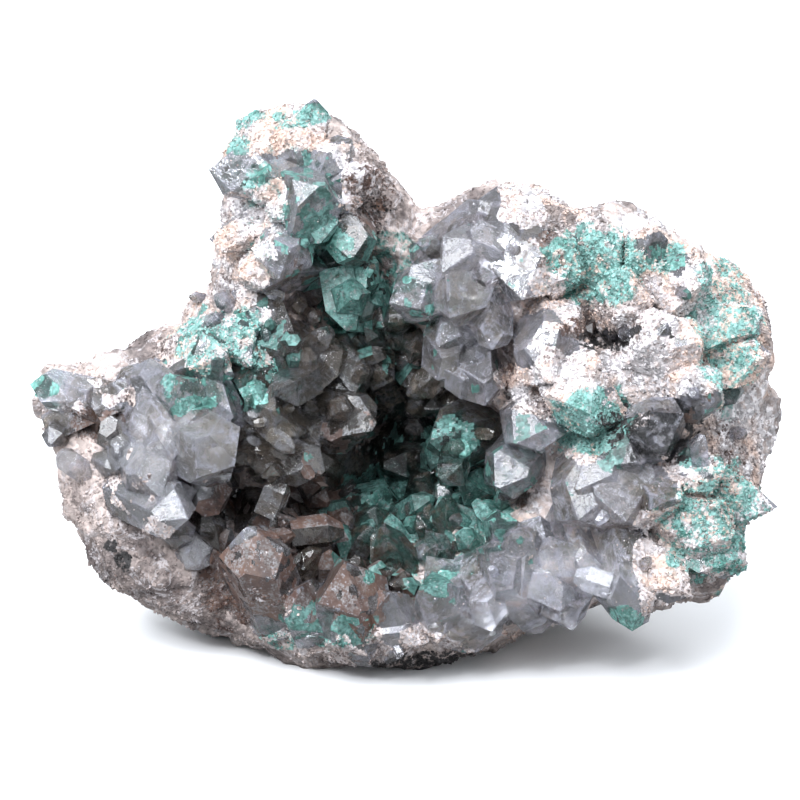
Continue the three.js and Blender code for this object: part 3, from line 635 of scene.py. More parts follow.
def growth_tree(shapes, small, large, tilt, seed):
    """Geometry nodes that scatter the shapes over a surface by its density attribute"""
    tree = bpy.data.node_groups.new("Growth", "GeometryNodeTree")
    tree.interface.new_socket("Geometry", in_out="INPUT", socket_type="NodeSocketGeometry")
    tree.interface.new_socket("Geometry", in_out="OUTPUT", socket_type="NodeSocketGeometry")
    surface = add_node(tree, "NodeGroupInput")
    density = add_node(tree, "GeometryNodeInputNamedAttribute", {"Name": "density"}, data_type="FLOAT")
    spots = add_node(
        tree, "GeometryNodeDistributePointsOnFaces",
        {"Mesh": surface.outputs[0], "Density": density.outputs[0], "Seed": seed}, distribute_method="RANDOM")
    turn = add_node(
        tree, "FunctionNodeRandomValue",
        {0: (-tilt, -tilt, 0.0), 1: (tilt, tilt, math.tau), "Seed": seed + 1}, data_type="FLOAT_VECTOR")
    euler = add_node(tree, "FunctionNodeEulerToRotation", {0: turn.outputs[0]})
    rotation = add_node(
        tree, "FunctionNodeRotateRotation",
        {0: spots.outputs["Rotation"], 1: euler.outputs[0]}, rotation_space="LOCAL")
    chance = add_node(
        tree, "FunctionNodeRandomValue", {2: 0.0, 3: 1.0, "Seed": seed + 2}, data_type="FLOAT")
    skewed = calculated(tree, "POWER", chance.outputs[1], SIZE_SKEW)
    size = add_node(
        tree, "ShaderNodeMapRange", {"Value": skewed, "To Min": small, "To Max": large})
    library = bpy.data.collections.new("growth_shapes")
    bpy.context.scene.collection.children.link(library)
    for shape in shapes:
        for old in list(shape.users_collection):
            old.objects.unlink(shape)
        library.objects.link(shape)
    kinds = add_node(
        tree, "GeometryNodeCollectionInfo",
        {"Collection": library, "Separate Children": True, "Reset Children": True})
    placed = add_node(
        tree, "GeometryNodeInstanceOnPoints",
        {"Points": spots.outputs["Points"], "Instance": kinds.outputs[0], "Pick Instance": True,
         "Rotation": rotation.outputs[0], "Scale": size.outputs[0]})
    tone = add_node(
        tree, "FunctionNodeRandomValue", {2: 0.0, 3: 1.0, "Seed": seed + 3}, data_type="FLOAT")
    toned = add_node(
        tree, "GeometryNodeStoreNamedAttribute",
        {"Geometry": placed.outputs[0], "Name": "tone", "Value": tone.outputs[1]},
        data_type="FLOAT", domain="INSTANCE")
    real = add_node(tree, "GeometryNodeRealizeInstances", {"Geometry": toned.outputs[0]})
    add_node(tree, "NodeGroupOutput", {0: real.outputs[0]})
    return tree, library


def growing_ground(names):
    """One joined copy of the pieces for things to grow on, with the rock marked"""
    copies = []
    for name in names:
        mesh = bpy.data.objects[name].data.copy()
        store_value(mesh, "rocky", np.full(len(mesh.vertices), float(name == "host_rock")))
        copies.append(new_object("ground", mesh))
    for piece in copies:
        piece.select_set(True)
    bpy.ops.object.join()
    ground = bpy.context.object
    ground.data.materials.clear()
    rocky = np.empty(len(ground.data.vertices))
    ground.data.attributes["rocky"].data.foreach_get("value", rocky)
    return ground, rocky


def grow(name, ground, density, shapes, small, large, tilt, seed):
    """Grows the shapes on a copy of the ground, as one joined mesh"""
    mesh = ground.data.copy()
    mesh.name = name
    for extra in ("stain", "rocky"):
        mesh.attributes.remove(mesh.attributes[extra])
    store_value(mesh, "density", density)
    piece = new_object(name, mesh)
    tree, library = growth_tree(shapes, small, large, tilt, seed)
    apply_modifier(piece, "NODES", "Growth", node_group=tree)
    for shape in shapes:
        bpy.data.meshes.remove(shape.data)
    bpy.data.collections.remove(library)
    bpy.data.node_groups.remove(tree)
    piece.data.materials.clear()
    if "density" in piece.data.attributes:
        piece.data.attributes.remove(piece.data.attributes["density"])
    select_only(piece)
    bpy.ops.object.shade_flat()
    store_stain_and_shade(piece.data, stain_and_shade_masks(mesh_points(piece.data)))
    return piece


def thickness(areas, points):
    """How thick things grow at each point, by the areas"""
    across, up, _ = face_place(points)
    return within(areas, across, up, wandering(points, AREA_BUMPS))


def crusted(points):
    """How far the granular crust covers crystals at each point, from 0 to 1"""
    ragged = CRUST_RAGGED * wandering(points, CRUST_BUMPS)
    return smooth_step(*CRUST_FADE, thickness(CRUST_AREAS, points) + ragged)


# Node groups that the materials share

def blended(tree, share, first, second, blend="MIX"):
    """The colour between two, by a share"""
    made = add_node(
        tree, "ShaderNodeMix", {0: share, 6: first, 7: second}, data_type="RGBA", blend_type=blend)
    return made.outputs[2]


def ranged(tree, value, low, high, to_low, to_high):
    """A value carried smoothly from one range to another"""
    made = add_node(
        tree, "ShaderNodeMapRange",
        {"Value": value, "From Min": low, "From Max": high, "To Min": to_low, "To Max": to_high},
        interpolation_type="SMOOTHSTEP")
    return made.outputs[0]


def noise_value(tree, place, scale, detail, roughness, twist=0.0):
    made = add_node(
        tree, "ShaderNodeTexNoise",
        {"Vector": place, "Scale": scale, "Detail": detail, "Roughness": roughness, "Distortion": twist})
    return made.outputs[0]


def pattern(tree, place, name, scale=1.0):
    """One of the noise patterns, from 0 to its strength"""
    pitch, detail, roughness, twist, low, high, strength = PATTERNS[name]
    value = noise_value(tree, place, pitch * scale, detail, roughness, twist)
    return ranged(tree, value, low, high, 0.0, strength)


def stain_and_shade_group():
    """The three stain masks and the dark mask of mostly painted shade, with edges broken up by fine noise and
    by each grain's own chance
    """
    tree = bpy.data.node_groups.new("Stain And Shade Masks", "ShaderNodeTree")
    tree.interface.new_socket("Chance", in_out="INPUT", socket_type="NodeSocketFloat")
    for name in ("Green", "Rust", "Pale", "Dark"):
        tree.interface.new_socket(name, in_out="OUTPUT", socket_type="NodeSocketFloat")
    place = add_node(tree, "ShaderNodeTexCoord").outputs["Object"]
    stain = add_node(tree, "ShaderNodeAttribute", attribute_name="stain")
    parts = add_node(tree, "ShaderNodeSeparateColor", {0: stain.outputs["Color"]})
    sources = (parts.outputs[0], parts.outputs[1], parts.outputs[2], stain.outputs["Alpha"])
    enter = add_node(tree, "NodeGroupInput")
    leave = add_node(tree, "NodeGroupOutput")
    for index, source in enumerate(sources):
        scale = STAIN_SCALE + STAIN_SCALE_STEP * index
        broken = noise_value(tree, place, scale, STAIN_DETAIL, STAIN_ROUGHNESS)
        offset = ranged(tree, broken, *STAIN_RANGE, -STAIN_SHIFT, STAIN_SHIFT)
        turned = calculated(tree, "MULTIPLY", enter.outputs[0], 1.0 + LUCK_STEP * index)
        luck = ranged(tree, calculated(tree, "FRACT", turned), 0.0, 1.0, -STAIN_LUCK, STAIN_LUCK)
        moved = calculated(tree, "ADD", offset, luck)
        reach = ranged(tree, source, *STAIN_REACH, 0.0, 1.0)
        total = calculated(tree, "MULTIPLY_ADD", moved, reach, source)
        tree.links.new(ranged(tree, total, *STAIN_FADE, 0.0, 1.0), leave.inputs[index])
    return tree


def grain_group():
    """Granular height and tone"""
    tree = bpy.data.node_groups.new("Granular Surface", "ShaderNodeTree")
    tree.interface.new_socket("Scale", in_out="INPUT", socket_type="NodeSocketFloat")
    tree.interface.new_socket("Height", in_out="OUTPUT", socket_type="NodeSocketFloat")
    tree.interface.new_socket("Tone", in_out="OUTPUT", socket_type="NodeSocketFloat")
    enter = add_node(tree, "NodeGroupInput")
    place = add_node(tree, "ShaderNodeTexCoord").outputs["Object"]
    cells = add_node(tree, "ShaderNodeTexVoronoi", {"Vector": place, "Scale": enter.outputs[0]})
    fine = noise_value(tree, place, enter.outputs[0], GRAIN_DETAIL, GRAIN_ROUGHNESS)
    cell_tone = add_node(tree, "ShaderNodeSeparateColor", {0: cells.outputs["Color"]})
    leave = add_node(tree, "NodeGroupOutput")
    tree.links.new(calculated(tree, "SUBTRACT", fine, cells.outputs["Distance"]), leave.inputs[0])
    tree.links.new(cell_tone.outputs[0], leave.inputs[1])
    return tree


def group_node(tree, group, inputs=None):
    made = tree.nodes.new("ShaderNodeGroup")
    made.node_tree = group
    for key, value in (inputs or {}).items():
        made.inputs[key].default_value = value
    return made


# Materials

def new_material(name):
    material = bpy.data.materials.new(name)
    material.use_nodes = True
    tree = material.node_tree
    return material, tree, tree.nodes["Principled BSDF"]


def colour(value):
    return (*value, 1.0)


def bumped(tree, shader, height, strength, distance):
    bump = add_node(tree, "ShaderNodeBump", {"Strength": strength, "Distance": distance, "Height": height})
    tree.links.new(bump.outputs[0], shader.inputs["Normal"])


def green_tones(tree, place, colours, scale):
    """Copper stain from powdery pale to thick and deep"""
    coarse = pattern(tree, place, "coarse green", scale)
    body = blended(tree, coarse, colour(colours.green_pale), colour(colours.green_mid))
    body = blended(tree, pattern(tree, place, "fine green", scale), body, colour(colours.green_deep))
    return blended(tree, pattern(tree, place, "green crumbs", scale), body, colour(colours.pale))


def brown_tones(tree, place, colours, scale):
    """Iron stain from rust to deep red brown, with patches of druse"""
    patches = pattern(tree, place, "druse patches", scale)
    druse = calculated(tree, "MULTIPLY", patches, pattern(tree, place, "druse grains", scale))
    coarse = pattern(tree, place, "coarse brown", scale)
    body = blended(tree, coarse, colour(colours.rust), colour(colours.red_brown))
    body = blended(tree, druse, body, colour(colours.worn))
    return blended(tree, pattern(tree, place, "brown crumbs", scale), body, colour(colours.frost))


def shaded(tree, body, tone, darkest, lightest):
    """A colour made darker or lighter by a tone"""
    shade = ranged(tree, tone, 0.0, 1.0, darkest, lightest)
    grey = add_node(tree, "ShaderNodeCombineColor", {0: shade, 1: shade, 2: shade})
    return blended(tree, 1.0, body, grey.outputs[0], "MULTIPLY")


def crust_material(name, colours, groups, body_colours, grain_scale, toned, gloss):
    """Host rock or its crust: pinkish grey grains under pale, green and brown stains, darkened by painted
    shade where the dark mask lies
    """
    _, tree, shader = new_material(name)
    place = add_node(tree, "ShaderNodeTexCoord").outputs["Object"]
    grain = group_node(tree, groups["grain"], {"Scale": grain_scale})
    stain = group_node(tree, groups["stain"], {"Chance": EVEN_CHANCE})
    tone = grain.outputs["Tone"]
    if toned:
        tone = add_node(tree, "ShaderNodeAttribute", attribute_name="tone").outputs["Fac"]
        tree.links.new(tone, stain.inputs["Chance"])
    cloud = pattern(tree, place, "cloud")
    body = blended(tree, cloud, colour(body_colours[0]), colour(body_colours[1]))
    swirl = noise_value(tree, place, VEIN_SCALE, VEIN_DETAIL, VEIN_ROUGHNESS, VEIN_TWIST)
    near = calculated(tree, "ABSOLUTE", calculated(tree, "SUBTRACT", swirl, VEIN_MIDDLE))
    veins = ranged(tree, near, 0.0, VEIN_WIDTH, VEIN_STRENGTH, 0.0)
    body = blended(tree, veins, body, colour(colours.pale))
    white = shaded(tree, colour(colours.bright), tone, *WHITE_TONES)
    pale = blended(tree, pattern(tree, place, "peach"), white, colour(colours.peach))
    body = blended(tree, stain.outputs["Pale"], body, pale)
    brown = brown_tones(tree, place, colours, ROCK_BROWN)
    body = blended(tree, stain.outputs["Rust"], body, brown)
    body = blended(tree, pattern(tree, place, "rust specks"), body, brown)
    powder = ranged(tree, stain.outputs["Pale"], 0.0, 1.0, 0.0, POWDER_SHARE)
    green = green_tones(tree, place, colours, GREEN_SCALE)
    body = blended(tree, stain.outputs["Green"], body, blended(tree, powder, green, colour(colours.powder)))
    # Painted shade: the dark mask lays the shadow colour in the hollow, its pits and slots and under the
    # lower rim
    body = blended(tree, stain.outputs["Dark"], body, colour(colours.shadow))
    body = shaded(tree, body, tone, *ROCK_TONES)
    tree.links.new(body, shader.inputs["Base Color"])
    tree.links.new(ranged(tree, tone, 0.0, 1.0, gloss, ROCK_ROUGHEST), shader.inputs["Roughness"])
    bumped(tree, shader, grain.outputs["Height"], *ROCK_RELIEF)


def crystal_material(name, colours, groups, inside, veil_colour, see_through, density):
    """Clear crystal with a warm inside, white wisps on its faces and smoke within"""
    _, tree, shader = new_material(name)
    place = add_node(tree, "ShaderNodeTexCoord").outputs["Object"]
    grain = group_node(tree, groups["grain"], {"Scale": CRYSTAL_GRAIN})
    stain = group_node(tree, groups["stain"], {"Chance": EVEN_CHANCE})
    tone = add_node(tree, "ShaderNodeAttribute", attribute_name="tone").outputs["Fac"]
    edge = add_node(tree, "ShaderNodeAttribute", attribute_name="edge").outputs["Fac"]
    clear = blended(tree, pattern(tree, place, "cast"), colour(inside), colour(colours.tinge))
    clear = shaded(tree, clear, pattern(tree, place, "depth"), *DEPTH_TONES)
    ragged = pattern(tree, place, "ragged")
    chipped = calculated(tree, "MULTIPLY", edge, ragged)
    bloom = ranged(tree, stain.outputs["Pale"], 0.0, 1.0, 0.0, BLOOM_SHARE)
    frosted = calculated(tree, "MULTIPLY", bloom, ragged)
    veil = pattern(tree, place, "wisps")
    for white in (pattern(tree, place, "white specks"), chipped, frosted):
        veil = calculated(tree, "MAXIMUM", veil, white)
    body = blended(tree, veil, clear, colour(veil_colour))
    for stained, tones in (("Rust", brown_tones), ("Green", green_tones)):
        thin = ranged(tree, stain.outputs[stained], 0.0, 1.0, 0.0, THIN_STAIN)
        body = blended(tree, thin, body, tones(tree, place, colours, GREEN_SCALE))
    body = shaded(tree, body, tone, *CRYSTAL_TONES)
    # Painted shade: the dark mask darkens crystals in the hollow and its pockets, and gives the dark crystal
    # on the right its own dark colour
    body = shaded(tree, body, stain.outputs["Dark"], 1.0, CRYSTAL_DARKEST_IN_SHADE_AND_DARK)
    tree.links.new(body, shader.inputs["Base Color"])
    shader.inputs["Transmission Weight"].default_value = see_through
    shader.inputs["IOR"].default_value = CRYSTAL_IOR
    tree.links.new(ranged(tree, veil, 0.0, 1.0, *CRYSTAL_ROUGHNESS), shader.inputs["Roughness"])
    bumped(tree, shader, calculated(tree, "MULTIPLY", grain.outputs["Height"], veil), *CRYSTAL_RELIEF)
    smoke = add_node(
        tree, "ShaderNodeVolumeAbsorption", {"Color": colour(colours.smoke), "Density": density})
    tree.links.new(smoke.outputs[0], tree.nodes["Material Output"].inputs["Volume"])


def coat_material(name, colours, groups, tones, scale, gloss, coat):
    """A crystal face under a mineral coat, worn thin to the grey below"""
    _, tree, shader = new_material(name)
    place = add_node(tree, "ShaderNodeTexCoord").outputs["Object"]
    grain = group_node(tree, groups["grain"], {"Scale": COAT_GRAIN})
    tone = add_node(tree, "ShaderNodeAttribute", attribute_name="tone").outputs["Fac"]
    worn = pattern(tree, place, "worn", scale)
    body = blended(tree, worn, tones(tree, place, colours, scale), colour(colours.worn))
    # Painted shade: the dark mask darkens coats in the hollow and its pockets
    dark = group_node(tree, groups["stain"], {"Chance": EVEN_CHANCE}).outputs["Dark"]
    body = shaded(tree, shaded(tree, body, tone, *COAT_TONES), dark, 1.0, COAT_DARKEST_IN_SHADE_AND_DARK)
    tree.links.new(body, shader.inputs["Base Color"])
    thin = ranged(tree, worn, 0.0, PATTERNS["worn"][-1], COAT_ROUGHNESS, gloss)
    tree.links.new(thin, shader.inputs["Roughness"])
    shader.inputs["Coat Weight"].default_value = coat
    shader.inputs["Coat Roughness"].default_value = GLAZE_ROUGHNESS
    bumped(tree, shader, grain.outputs["Height"], *COAT_RELIEF)


def materials(context):
    """Every finish by name, made once"""
    if "rock_surface" not in bpy.data.materials:
        colours = context.scene.specimen_colours
        groups = {"stain": stain_and_shade_group(), "grain": grain_group()}
        rock = (colours.rock_grey, colours.rock_pink)
        bodies = {
            "rock_surface": rock, "crust_grain": rock, "crust_coat": (colours.rock_pink, colours.pale),
            "white_dust": (colours.frost, colours.pale)}
        for name, looks in CRUST_FINISHES.items():
            crust_material(name, colours, groups, bodies[name], *looks)
        insides = {
            "pale_crystal": (colours.pale_body, colours.veil),
            "smoky_crystal": (colours.smoky_body, colours.veil),
            "dark_crystal": (colours.dark_body, colours.frost)}
        for name, (through, share) in CLEAR_FINISHES.items():
            crystal_material(name, colours, groups, *insides[name], through, share * colours.smoke_density)
        tones = {"green_coat": (green_tones, GREEN_SCALE), "brown_coat": (brown_tones, BROWN_SCALE)}
        for name, looks in COAT_FINISHES.items():
            coat_material(name, colours, groups, *tones[name], *looks)
    return bpy.data.materials


# Finishes of single faces

def face_vectors(mesh, name):
    flat = np.empty(len(mesh.polygons) * 3)
    mesh.polygons.foreach_get(name, flat)
    return flat.reshape(-1, 3)


def facet_tones(mesh, seed):
    """One chance, from 0 to 1, for all faces that look the same way"""
    way = np.round(face_vectors(mesh, "normal") * WAY_STEPS)
    mixed = np.sin(way @ np.array(WAY_MIX) + seed) * WAY_SPREAD
    return mixed - np.floor(mixed)


def edge_values(mesh, least_angle):
    """1 at each vertex of the faces beside a sharp edge that stands out, 0 elsewhere"""
    count = len(mesh.polygons)
    edges = np.empty(len(mesh.loops), dtype=np.int64)
    mesh.loops.foreach_get("edge_index", edges)
    vertices = np.empty(len(mesh.loops), dtype=np.int64)
    mesh.loops.foreach_get("vertex_index", vertices)
    corners = np.empty(count, dtype=np.int64)
    mesh.polygons.foreach_get("loop_total", corners)
    owners = np.repeat(np.arange(count), corners)
    order = np.argsort(edges, kind="stable")
    edges, faces = edges[order], owners[order]
    pair = np.nonzero(edges[:-1] == edges[1:])[0]
    one, two = faces[pair], faces[pair + 1]
    normals, centres = face_vectors(mesh, "normal"), face_vectors(mesh, "center")
    sharp = np.einsum("ij,ij->i", normals[one], normals[two]) < math.cos(least_angle)
    proud = np.einsum("ij,ij->i", normals[one] - normals[two], centres[one] - centres[two]) > 0.0
    beside = np.zeros(count, dtype=bool)
    beside[one[sharp & proud]] = True
    beside[two[sharp & proud]] = True
    values = np.zeros(len(mesh.vertices))
    values[vertices[beside[owners]]] = 1.0
    return values


def finish_facets(piece, body, seed, context, whole=None):
    """Gives each small face its finish by the stains where it lies. whole holds one chance for each vertex,
    where the faces of a crystal share one."""
    library = materials(context)
    for name in (body, *COATS):
        piece.data.materials.append(library[name])
    polygons = piece.data.polygons
    centres = face_vectors(piece.data, "center")
    masks = stain_and_shade_masks(centres)
    if whole is None:
        tone = facet_tones(piece.data, seed)
        layer = piece.data.attributes.new("tone", "FLOAT", "FACE")
        layer.data.foreach_set("value", tone.astype(np.float32))
        broad = BROAD_COAT[0] * wandering(centres, BROAD_COAT[1])
        patchy = broad + FINE_COAT[0] * wandering(centres + seed, FINE_COAT[1])
        chance = COAT_LEAST + COAT_BY_FACE * tone + patchy
        store_value(piece.data, "edge", edge_values(piece.data, CHIPPED_ANGLE))
    else:
        first = np.array([polygon.vertices[0] for polygon in polygons])
        chance = whole[first]
    finish = np.zeros(len(polygons), dtype=np.int32)
    finish[masks[:, 1] * COAT_REACH > chance] = BROWN_SLOT
    finish[masks[:, 0] * COAT_REACH > chance] = GREEN_SLOT
    if whole is None:
        finish[crusted(centres) > CRUST_COAT_LEAST] = CRUST_SLOT
    polygons.foreach_set("material_index", finish)


class SPECIMEN_OT_host_rock(bpy.types.Operator):
    """Roughen and colour the rock"""

    bl_idname = "specimen.host_rock"
    bl_label = "Host Rock"

    def execute(self, context):
        shape = context.scene.specimen_shape
        rock = node_copy("matrix", "host_rock")
        apply_modifier(rock, "REMESH", "Cells", mode="VOXEL", voxel_size=shape.rock_fineness)
        turned_away = smooth_step(*BREAK_FACES, facing(mesh_normals(rock.data)))
        behind = rock.vertex_groups.new(name="behind")
        for index in np.nonzero(turned_away)[0]:
            behind.add([int(index)], turned_away[index], "REPLACE")
        roughen(rock, "Breaks", shape.break_height, "behind")
        rock.vertex_groups.clear()
        roughen(rock, "Lumps", shape.lump_height)
        roughen(rock, "Chips", shape.chip_height)
        roughen(rock, "Pits", PIT_SHARE * shape.chip_height)
        points = mesh_points(rock.data)
        points[:, 2] = np.maximum(points[:, 2], 0.0)
        rock.data.vertices.foreach_set("co", points.ravel())
        rock.data.update()
        masks = stain_and_shade_masks(points)
        across, up, _ = face_place(points)
        # The rock in the hollow takes rust stain and painted shade
        inside = within((HOLLOW,), across, up, wandering(points, HOLLOW_BUMPS))
        masks[:, 1] = np.maximum(masks[:, 1], HOLLOW_ROCK_STAIN_AND_SHADE * inside)
        masks[:, 3] = np.maximum(masks[:, 3], HOLLOW_ROCK_STAIN_AND_SHADE * inside)
        masks *= smooth_step(*STAIN_FACES, facing(mesh_normals(rock.data)))[:, None]
        store_stain_and_shade(rock.data, masks)
        rock.data.materials.append(materials(context)["rock_surface"])
        select_only(rock)
        bpy.ops.object.shade_smooth()
        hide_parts("matrix")
        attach(rock, "root")
        return {"FINISHED"}


class SPECIMEN_OT_crystal_groups(bpy.types.Operator):
    """Wear the edges of every crystal group and give each facet its finish"""

    bl_idname = "specimen.crystal_groups"
    bl_label = "Crystal Groups"

    def execute(self, context):
        shape = context.scene.specimen_shape
        for node, (name, body, seed) in GROUPS.items():
            cluster = node_copy(node, name)
            depth = math.ceil(math.log2(max(cluster.dimensions) / shape.facet_fineness))
            apply_modifier(
                cluster, "REMESH", "Facets", mode="SHARP", octree_depth=depth, scale=FACET_SCALE,
                sharpness=1.0, use_remove_disconnected=False)
            apply_modifier(cluster, "SMOOTH", "Worn Edges", factor=shape.edge_wear, iterations=1)
            roughen(cluster, "Uneven Faces", shape.unevenness)
            finish_facets(cluster, body, seed, context)
            store_stain_and_shade(cluster.data, stain_and_shade_masks(mesh_points(cluster.data)))
            select_only(cluster)
            bpy.ops.object.shade_smooth_by_angle(angle=SHARP_ANGLE)
            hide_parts(node)
            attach(cluster, "root")
        return {"FINISHED"}


class SPECIMEN_OT_young_crystals(bpy.types.Operator):
    """Grow young crystals on the broken face between the groups"""

    bl_idname = "specimen.young_crystals"
    bl_label = "Young Crystals"

    def execute(self, context):
        shape = context.scene.specimen_shape
        on_rock = ("host_rock", "hollow_lining")
        sizes = (shape.young_small, shape.young_large)
        large = (shape.hollow_small, shape.hollow_large)
        on_pale = ("pinnacle_cluster", "left_shoulder_cluster", "lower_lip_cluster")
        on_smoky = ("right_shoulder_cluster", "right_flank_cluster", "right_crest_cluster")
        for step, (name, body, grounds, areas, share, (small, big)) in enumerate((
                ("young_crystals", "dark_crystal", on_rock, YOUNG_AREAS, 1.0, sizes),
                ("outer_young_crystals", "pale_crystal", on_rock, OUTER_AREAS, 1.0, sizes),
                ("hollow_crystals", "dark_crystal", on_rock, HOLLOW_AREAS, shape.hollow_share, large),
                ("rim_crystals", "pale_crystal", ("host_rock",), RIM_AREAS, shape.hollow_share, large),
                ("pale_side_crystals", "pale_crystal", on_pale, EVERYWHERE, shape.side_share, sizes),
                ("smoky_side_crystals", "smoky_crystal", on_smoky, EVERYWHERE, shape.side_share, sizes))):
            ground, _ = growing_ground(grounds)
            points = mesh_points(ground.data)
            front = smooth_step(*YOUNG_FACES, facing(mesh_normals(ground.data)))
            clear = smooth_step(0.0, shape.floor_gap, points[:, 2] - shape.floor_gap)
            density = front * clear * thickness(areas, points) * share * shape.young_density / MM ** 2
            young = grow(name, ground, density, crystal_shapes(), small, big, YOUNG_TILT, shape.seed + step)
            bpy.data.meshes.remove(ground.data)
            tone = np.empty(len(young.data.vertices))
            young.data.attributes["tone"].data.foreach_get("value", tone)
            finish_facets(young, body, shape.seed, context, tone)
            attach(young, "root")
        return {"FINISHED"}


class SPECIMEN_OT_crust_grains(bpy.types.Operator):
    """Lay the granular crust over the rock"""

    bl_idname = "specimen.crust_grains"
    bl_label = "Crust Grains"

    def execute(self, context):
        shape = context.scene.specimen_shape
        clusters = [name for name, _, _ in GROUPS.values()]
        ground, rocky = growing_ground(("host_rock", *clusters))
        points = mesh_points(ground.data)
        across, up, _ = face_place(points)
        front = smooth_step(*CRUST_FACES, facing(mesh_normals(ground.data)))
        thick = thickness(CRUST_AREAS, points)
        thick = rocky * (BARE_CRUST + FULL_CRUST * thick) + (1.0 - rocky) * FULL_CRUST * crusted(points)
        clear = points[:, 2] > shape.grain_large + shape.rock_fineness
        density = front * clear * thick * shape.grain_density / MM ** 2
        left, high = across < CRUST_SPLIT[0], up > CRUST_SPLIT[1]
        quarters = {
            "pinnacle_crust": left & high, "left_crust": left & ~high,
            "right_crest_crust": ~left & high, "right_flank_crust": ~left & ~high}
        for name, side in quarters.items():
            crust = grow(
                name, ground, density * side, grain_shapes(), shape.grain_small, shape.grain_large,
                math.pi, shape.seed + CRUST_SEED)
            crust.data.materials.append(materials(context)["crust_grain"])
            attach(crust, "root")
        bpy.data.meshes.remove(ground.data)
        return {"FINISHED"}


class SPECIMEN_OT_dust(bpy.types.Operator):
    """Strew white specks over the crystals"""

    bl_idname = "specimen.dust"
    bl_label = "Dust"

    def execute(self, context):
        shape = context.scene.specimen_shape
        ground, _ = growing_ground([name for name, _, _ in GROUPS.values()])
        points = mesh_points(ground.data)
        normals = mesh_normals(ground.data)
        lying = smooth_step(*DUST_FACES, facing(normals)) * smooth_step(*DUST_SLOPES, normals[:, 2])
        _, _, out = face_place(points)
        open_air = smooth_step(*DUST_DEPTHS, out)
        patches = wandering(points, DUST_BUMPS) + DUST_ON_PALE * stain_and_shade_masks(points)[:, 2]
        strewn = LEAST_DUST + smooth_step(*DUST_FADE, patches)
        density = lying * open_air * strewn * shape.dust_density / MM ** 2
        specks = [speck_shape(name, seed) for name, seed in SPECK_SEEDS.items()]
        dust = grow(
            "white_dust", ground, density, specks, shape.speck_small, shape.speck_large, math.pi,
            shape.seed + DUST_SEED)
        dust.data.materials.append(materials(context)["white_dust"])
        bpy.data.meshes.remove(ground.data)
        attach(dust, "root")
        return {"FINISHED"}


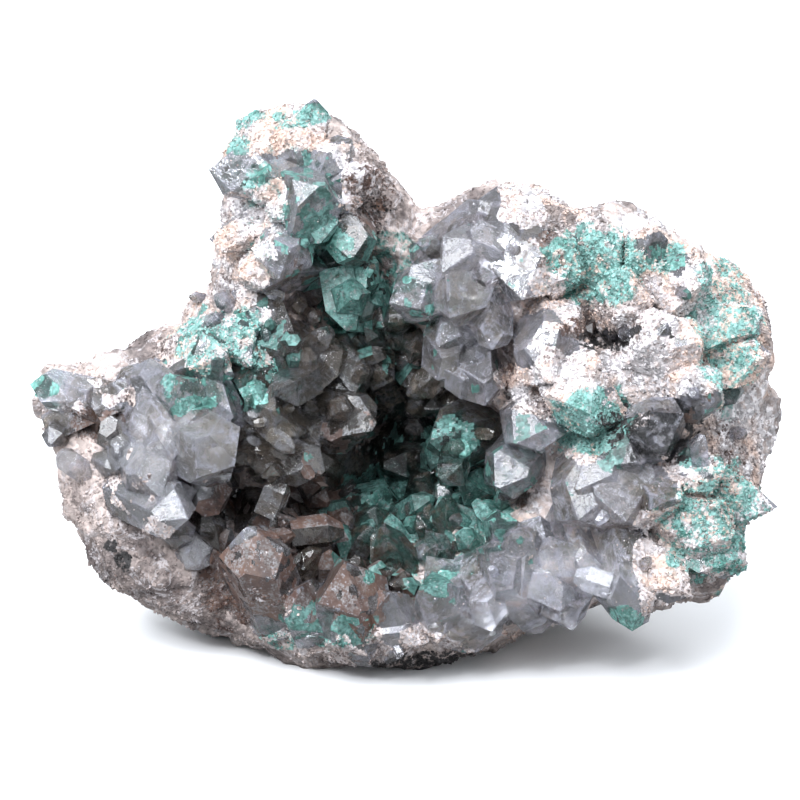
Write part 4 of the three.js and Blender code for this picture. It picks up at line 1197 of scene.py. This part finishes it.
class SPECIMEN_OT_stage(bpy.types.Operator):
    """Set the floor, the soft light and the camera"""

    bl_idname = "specimen.stage"
    bl_label = "Stage"

    def execute(self, context):
        scene = context.scene
        stage = scene.specimen_stage
        bpy.ops.object.select_all(action="DESELECT")
        bpy.ops.mesh.primitive_plane_add(size=FLOOR_SIZE)
        floor = context.object
        floor.name = "floor"
        material, tree, shader = new_material("floor")
        seen = add_node(tree, "ShaderNodeLightPath").outputs["Is Camera Ray"]
        shown = blended(tree, seen, FLOOR_LIT, FLOOR_SEEN)
        tree.links.new(shown, shader.inputs["Base Color"])
        shader.inputs["Roughness"].default_value = FLOOR_ROUGHNESS
        floor.data.materials.append(material)

        focus = point_on_face(*FOCUS)
        out = Vector((0.0, -math.cos(LEAN), math.sin(LEAN)))
        camera = bpy.data.cameras.new("camera")
        camera.sensor_width = SENSOR_WIDTH
        camera.lens = camera.sensor_width * stage.distance / stage.frame_width
        camera.clip_end = FARTHEST
        eye = bpy.data.objects.new("camera", camera)
        eye.location = focus + out * stage.distance
        eye.rotation_euler = (math.pi / 2 - LEAN, 0.0, 0.0)
        scene.collection.objects.link(eye)
        scene.camera = eye

        powers = {
            "key": stage.key_power, "rim": stage.rim_power, "fill": stage.fill_power,
            "spark": stage.spark_power}
        for name, (size, offset) in LIGHTS.items():
            self.add_light(scene, name, powers[name], size, focus, Vector(offset))
        self.add_world(scene)
        scene.view_settings.view_transform = "Standard"
        scene.view_settings.exposure = EXPOSURE
        return {"FINISHED"}

    def add_light(self, scene, name, power, size, focus, offset):
        lamp = bpy.data.lights.new(name, "AREA")
        lamp.energy = power
        lamp.size = size
        lamp.color = LIGHT_COLOUR
        light = bpy.data.objects.new(name, lamp)
        light.location = focus + offset
        light.rotation_euler = (-offset).to_track_quat("-Z", "Y").to_euler()
        scene.collection.objects.link(light)

    def add_world(self, scene):
        world = bpy.data.worlds.new("soft sky")
        world.use_nodes = True
        tree = world.node_tree
        seen = tree.nodes["Background"]
        seen.inputs["Color"].default_value = BACKDROP
        place = add_node(tree, "ShaderNodeTexCoord").outputs["Generated"]
        parts = add_node(tree, "ShaderNodeSeparateXYZ", {0: place})
        height = ranged(tree, parts.outputs[2], *SKY_HEIGHTS, 0.0, 1.0)
        sky = blended(tree, height, SKY_LOW, SKY_HIGH)
        lit = add_node(tree, "ShaderNodeBackground", {"Color": sky, "Strength": 1.0})
        path = add_node(tree, "ShaderNodeLightPath")
        chosen = add_node(
            tree, "ShaderNodeMixShader",
            {0: path.outputs["Is Camera Ray"], 1: lit.outputs[0], 2: seen.outputs[0]})
        tree.links.new(chosen.outputs[0], tree.nodes["World Output"].inputs["Surface"])
        scene.world = world


OPERATORS = (
    SPECIMEN_OT_host_rock,
    SPECIMEN_OT_crystal_groups,
    SPECIMEN_OT_young_crystals,
    SPECIMEN_OT_crust_grains,
    SPECIMEN_OT_dust,
    SPECIMEN_OT_stage,
)


class VIEW3D_PT_specimen(bpy.types.Panel):
    """Builds the specimen step by step"""

    bl_label = "Specimen"
    bl_space_type = "VIEW_3D"
    bl_region_type = "UI"
    bl_category = "Specimen"

    def draw(self, context):
        for operator in OPERATORS:
            self.layout.operator(operator.bl_idname)


SETTINGS = (SpecimenShape, SpecimenColours, SpecimenStage)
CLASSES = (*SETTINGS, *OPERATORS, VIEW3D_PT_specimen)


def register():
    for item in CLASSES:
        bpy.utils.register_class(item)
    bpy.types.Scene.specimen_shape = PointerProperty(type=SpecimenShape)
    bpy.types.Scene.specimen_colours = PointerProperty(type=SpecimenColours)
    bpy.types.Scene.specimen_stage = PointerProperty(type=SpecimenStage)


def unregister():
    del bpy.types.Scene.specimen_stage
    del bpy.types.Scene.specimen_colours
    del bpy.types.Scene.specimen_shape
    for item in reversed(CLASSES):
        bpy.utils.unregister_class(item)


def main():
    register()
    bpy.ops.specimen.host_rock()
    bpy.ops.specimen.crystal_groups()
    bpy.ops.specimen.young_crystals()
    bpy.ops.specimen.crust_grains()
    bpy.ops.specimen.dust()
    bpy.ops.specimen.stage()


if __name__ == "__main__":
    main()
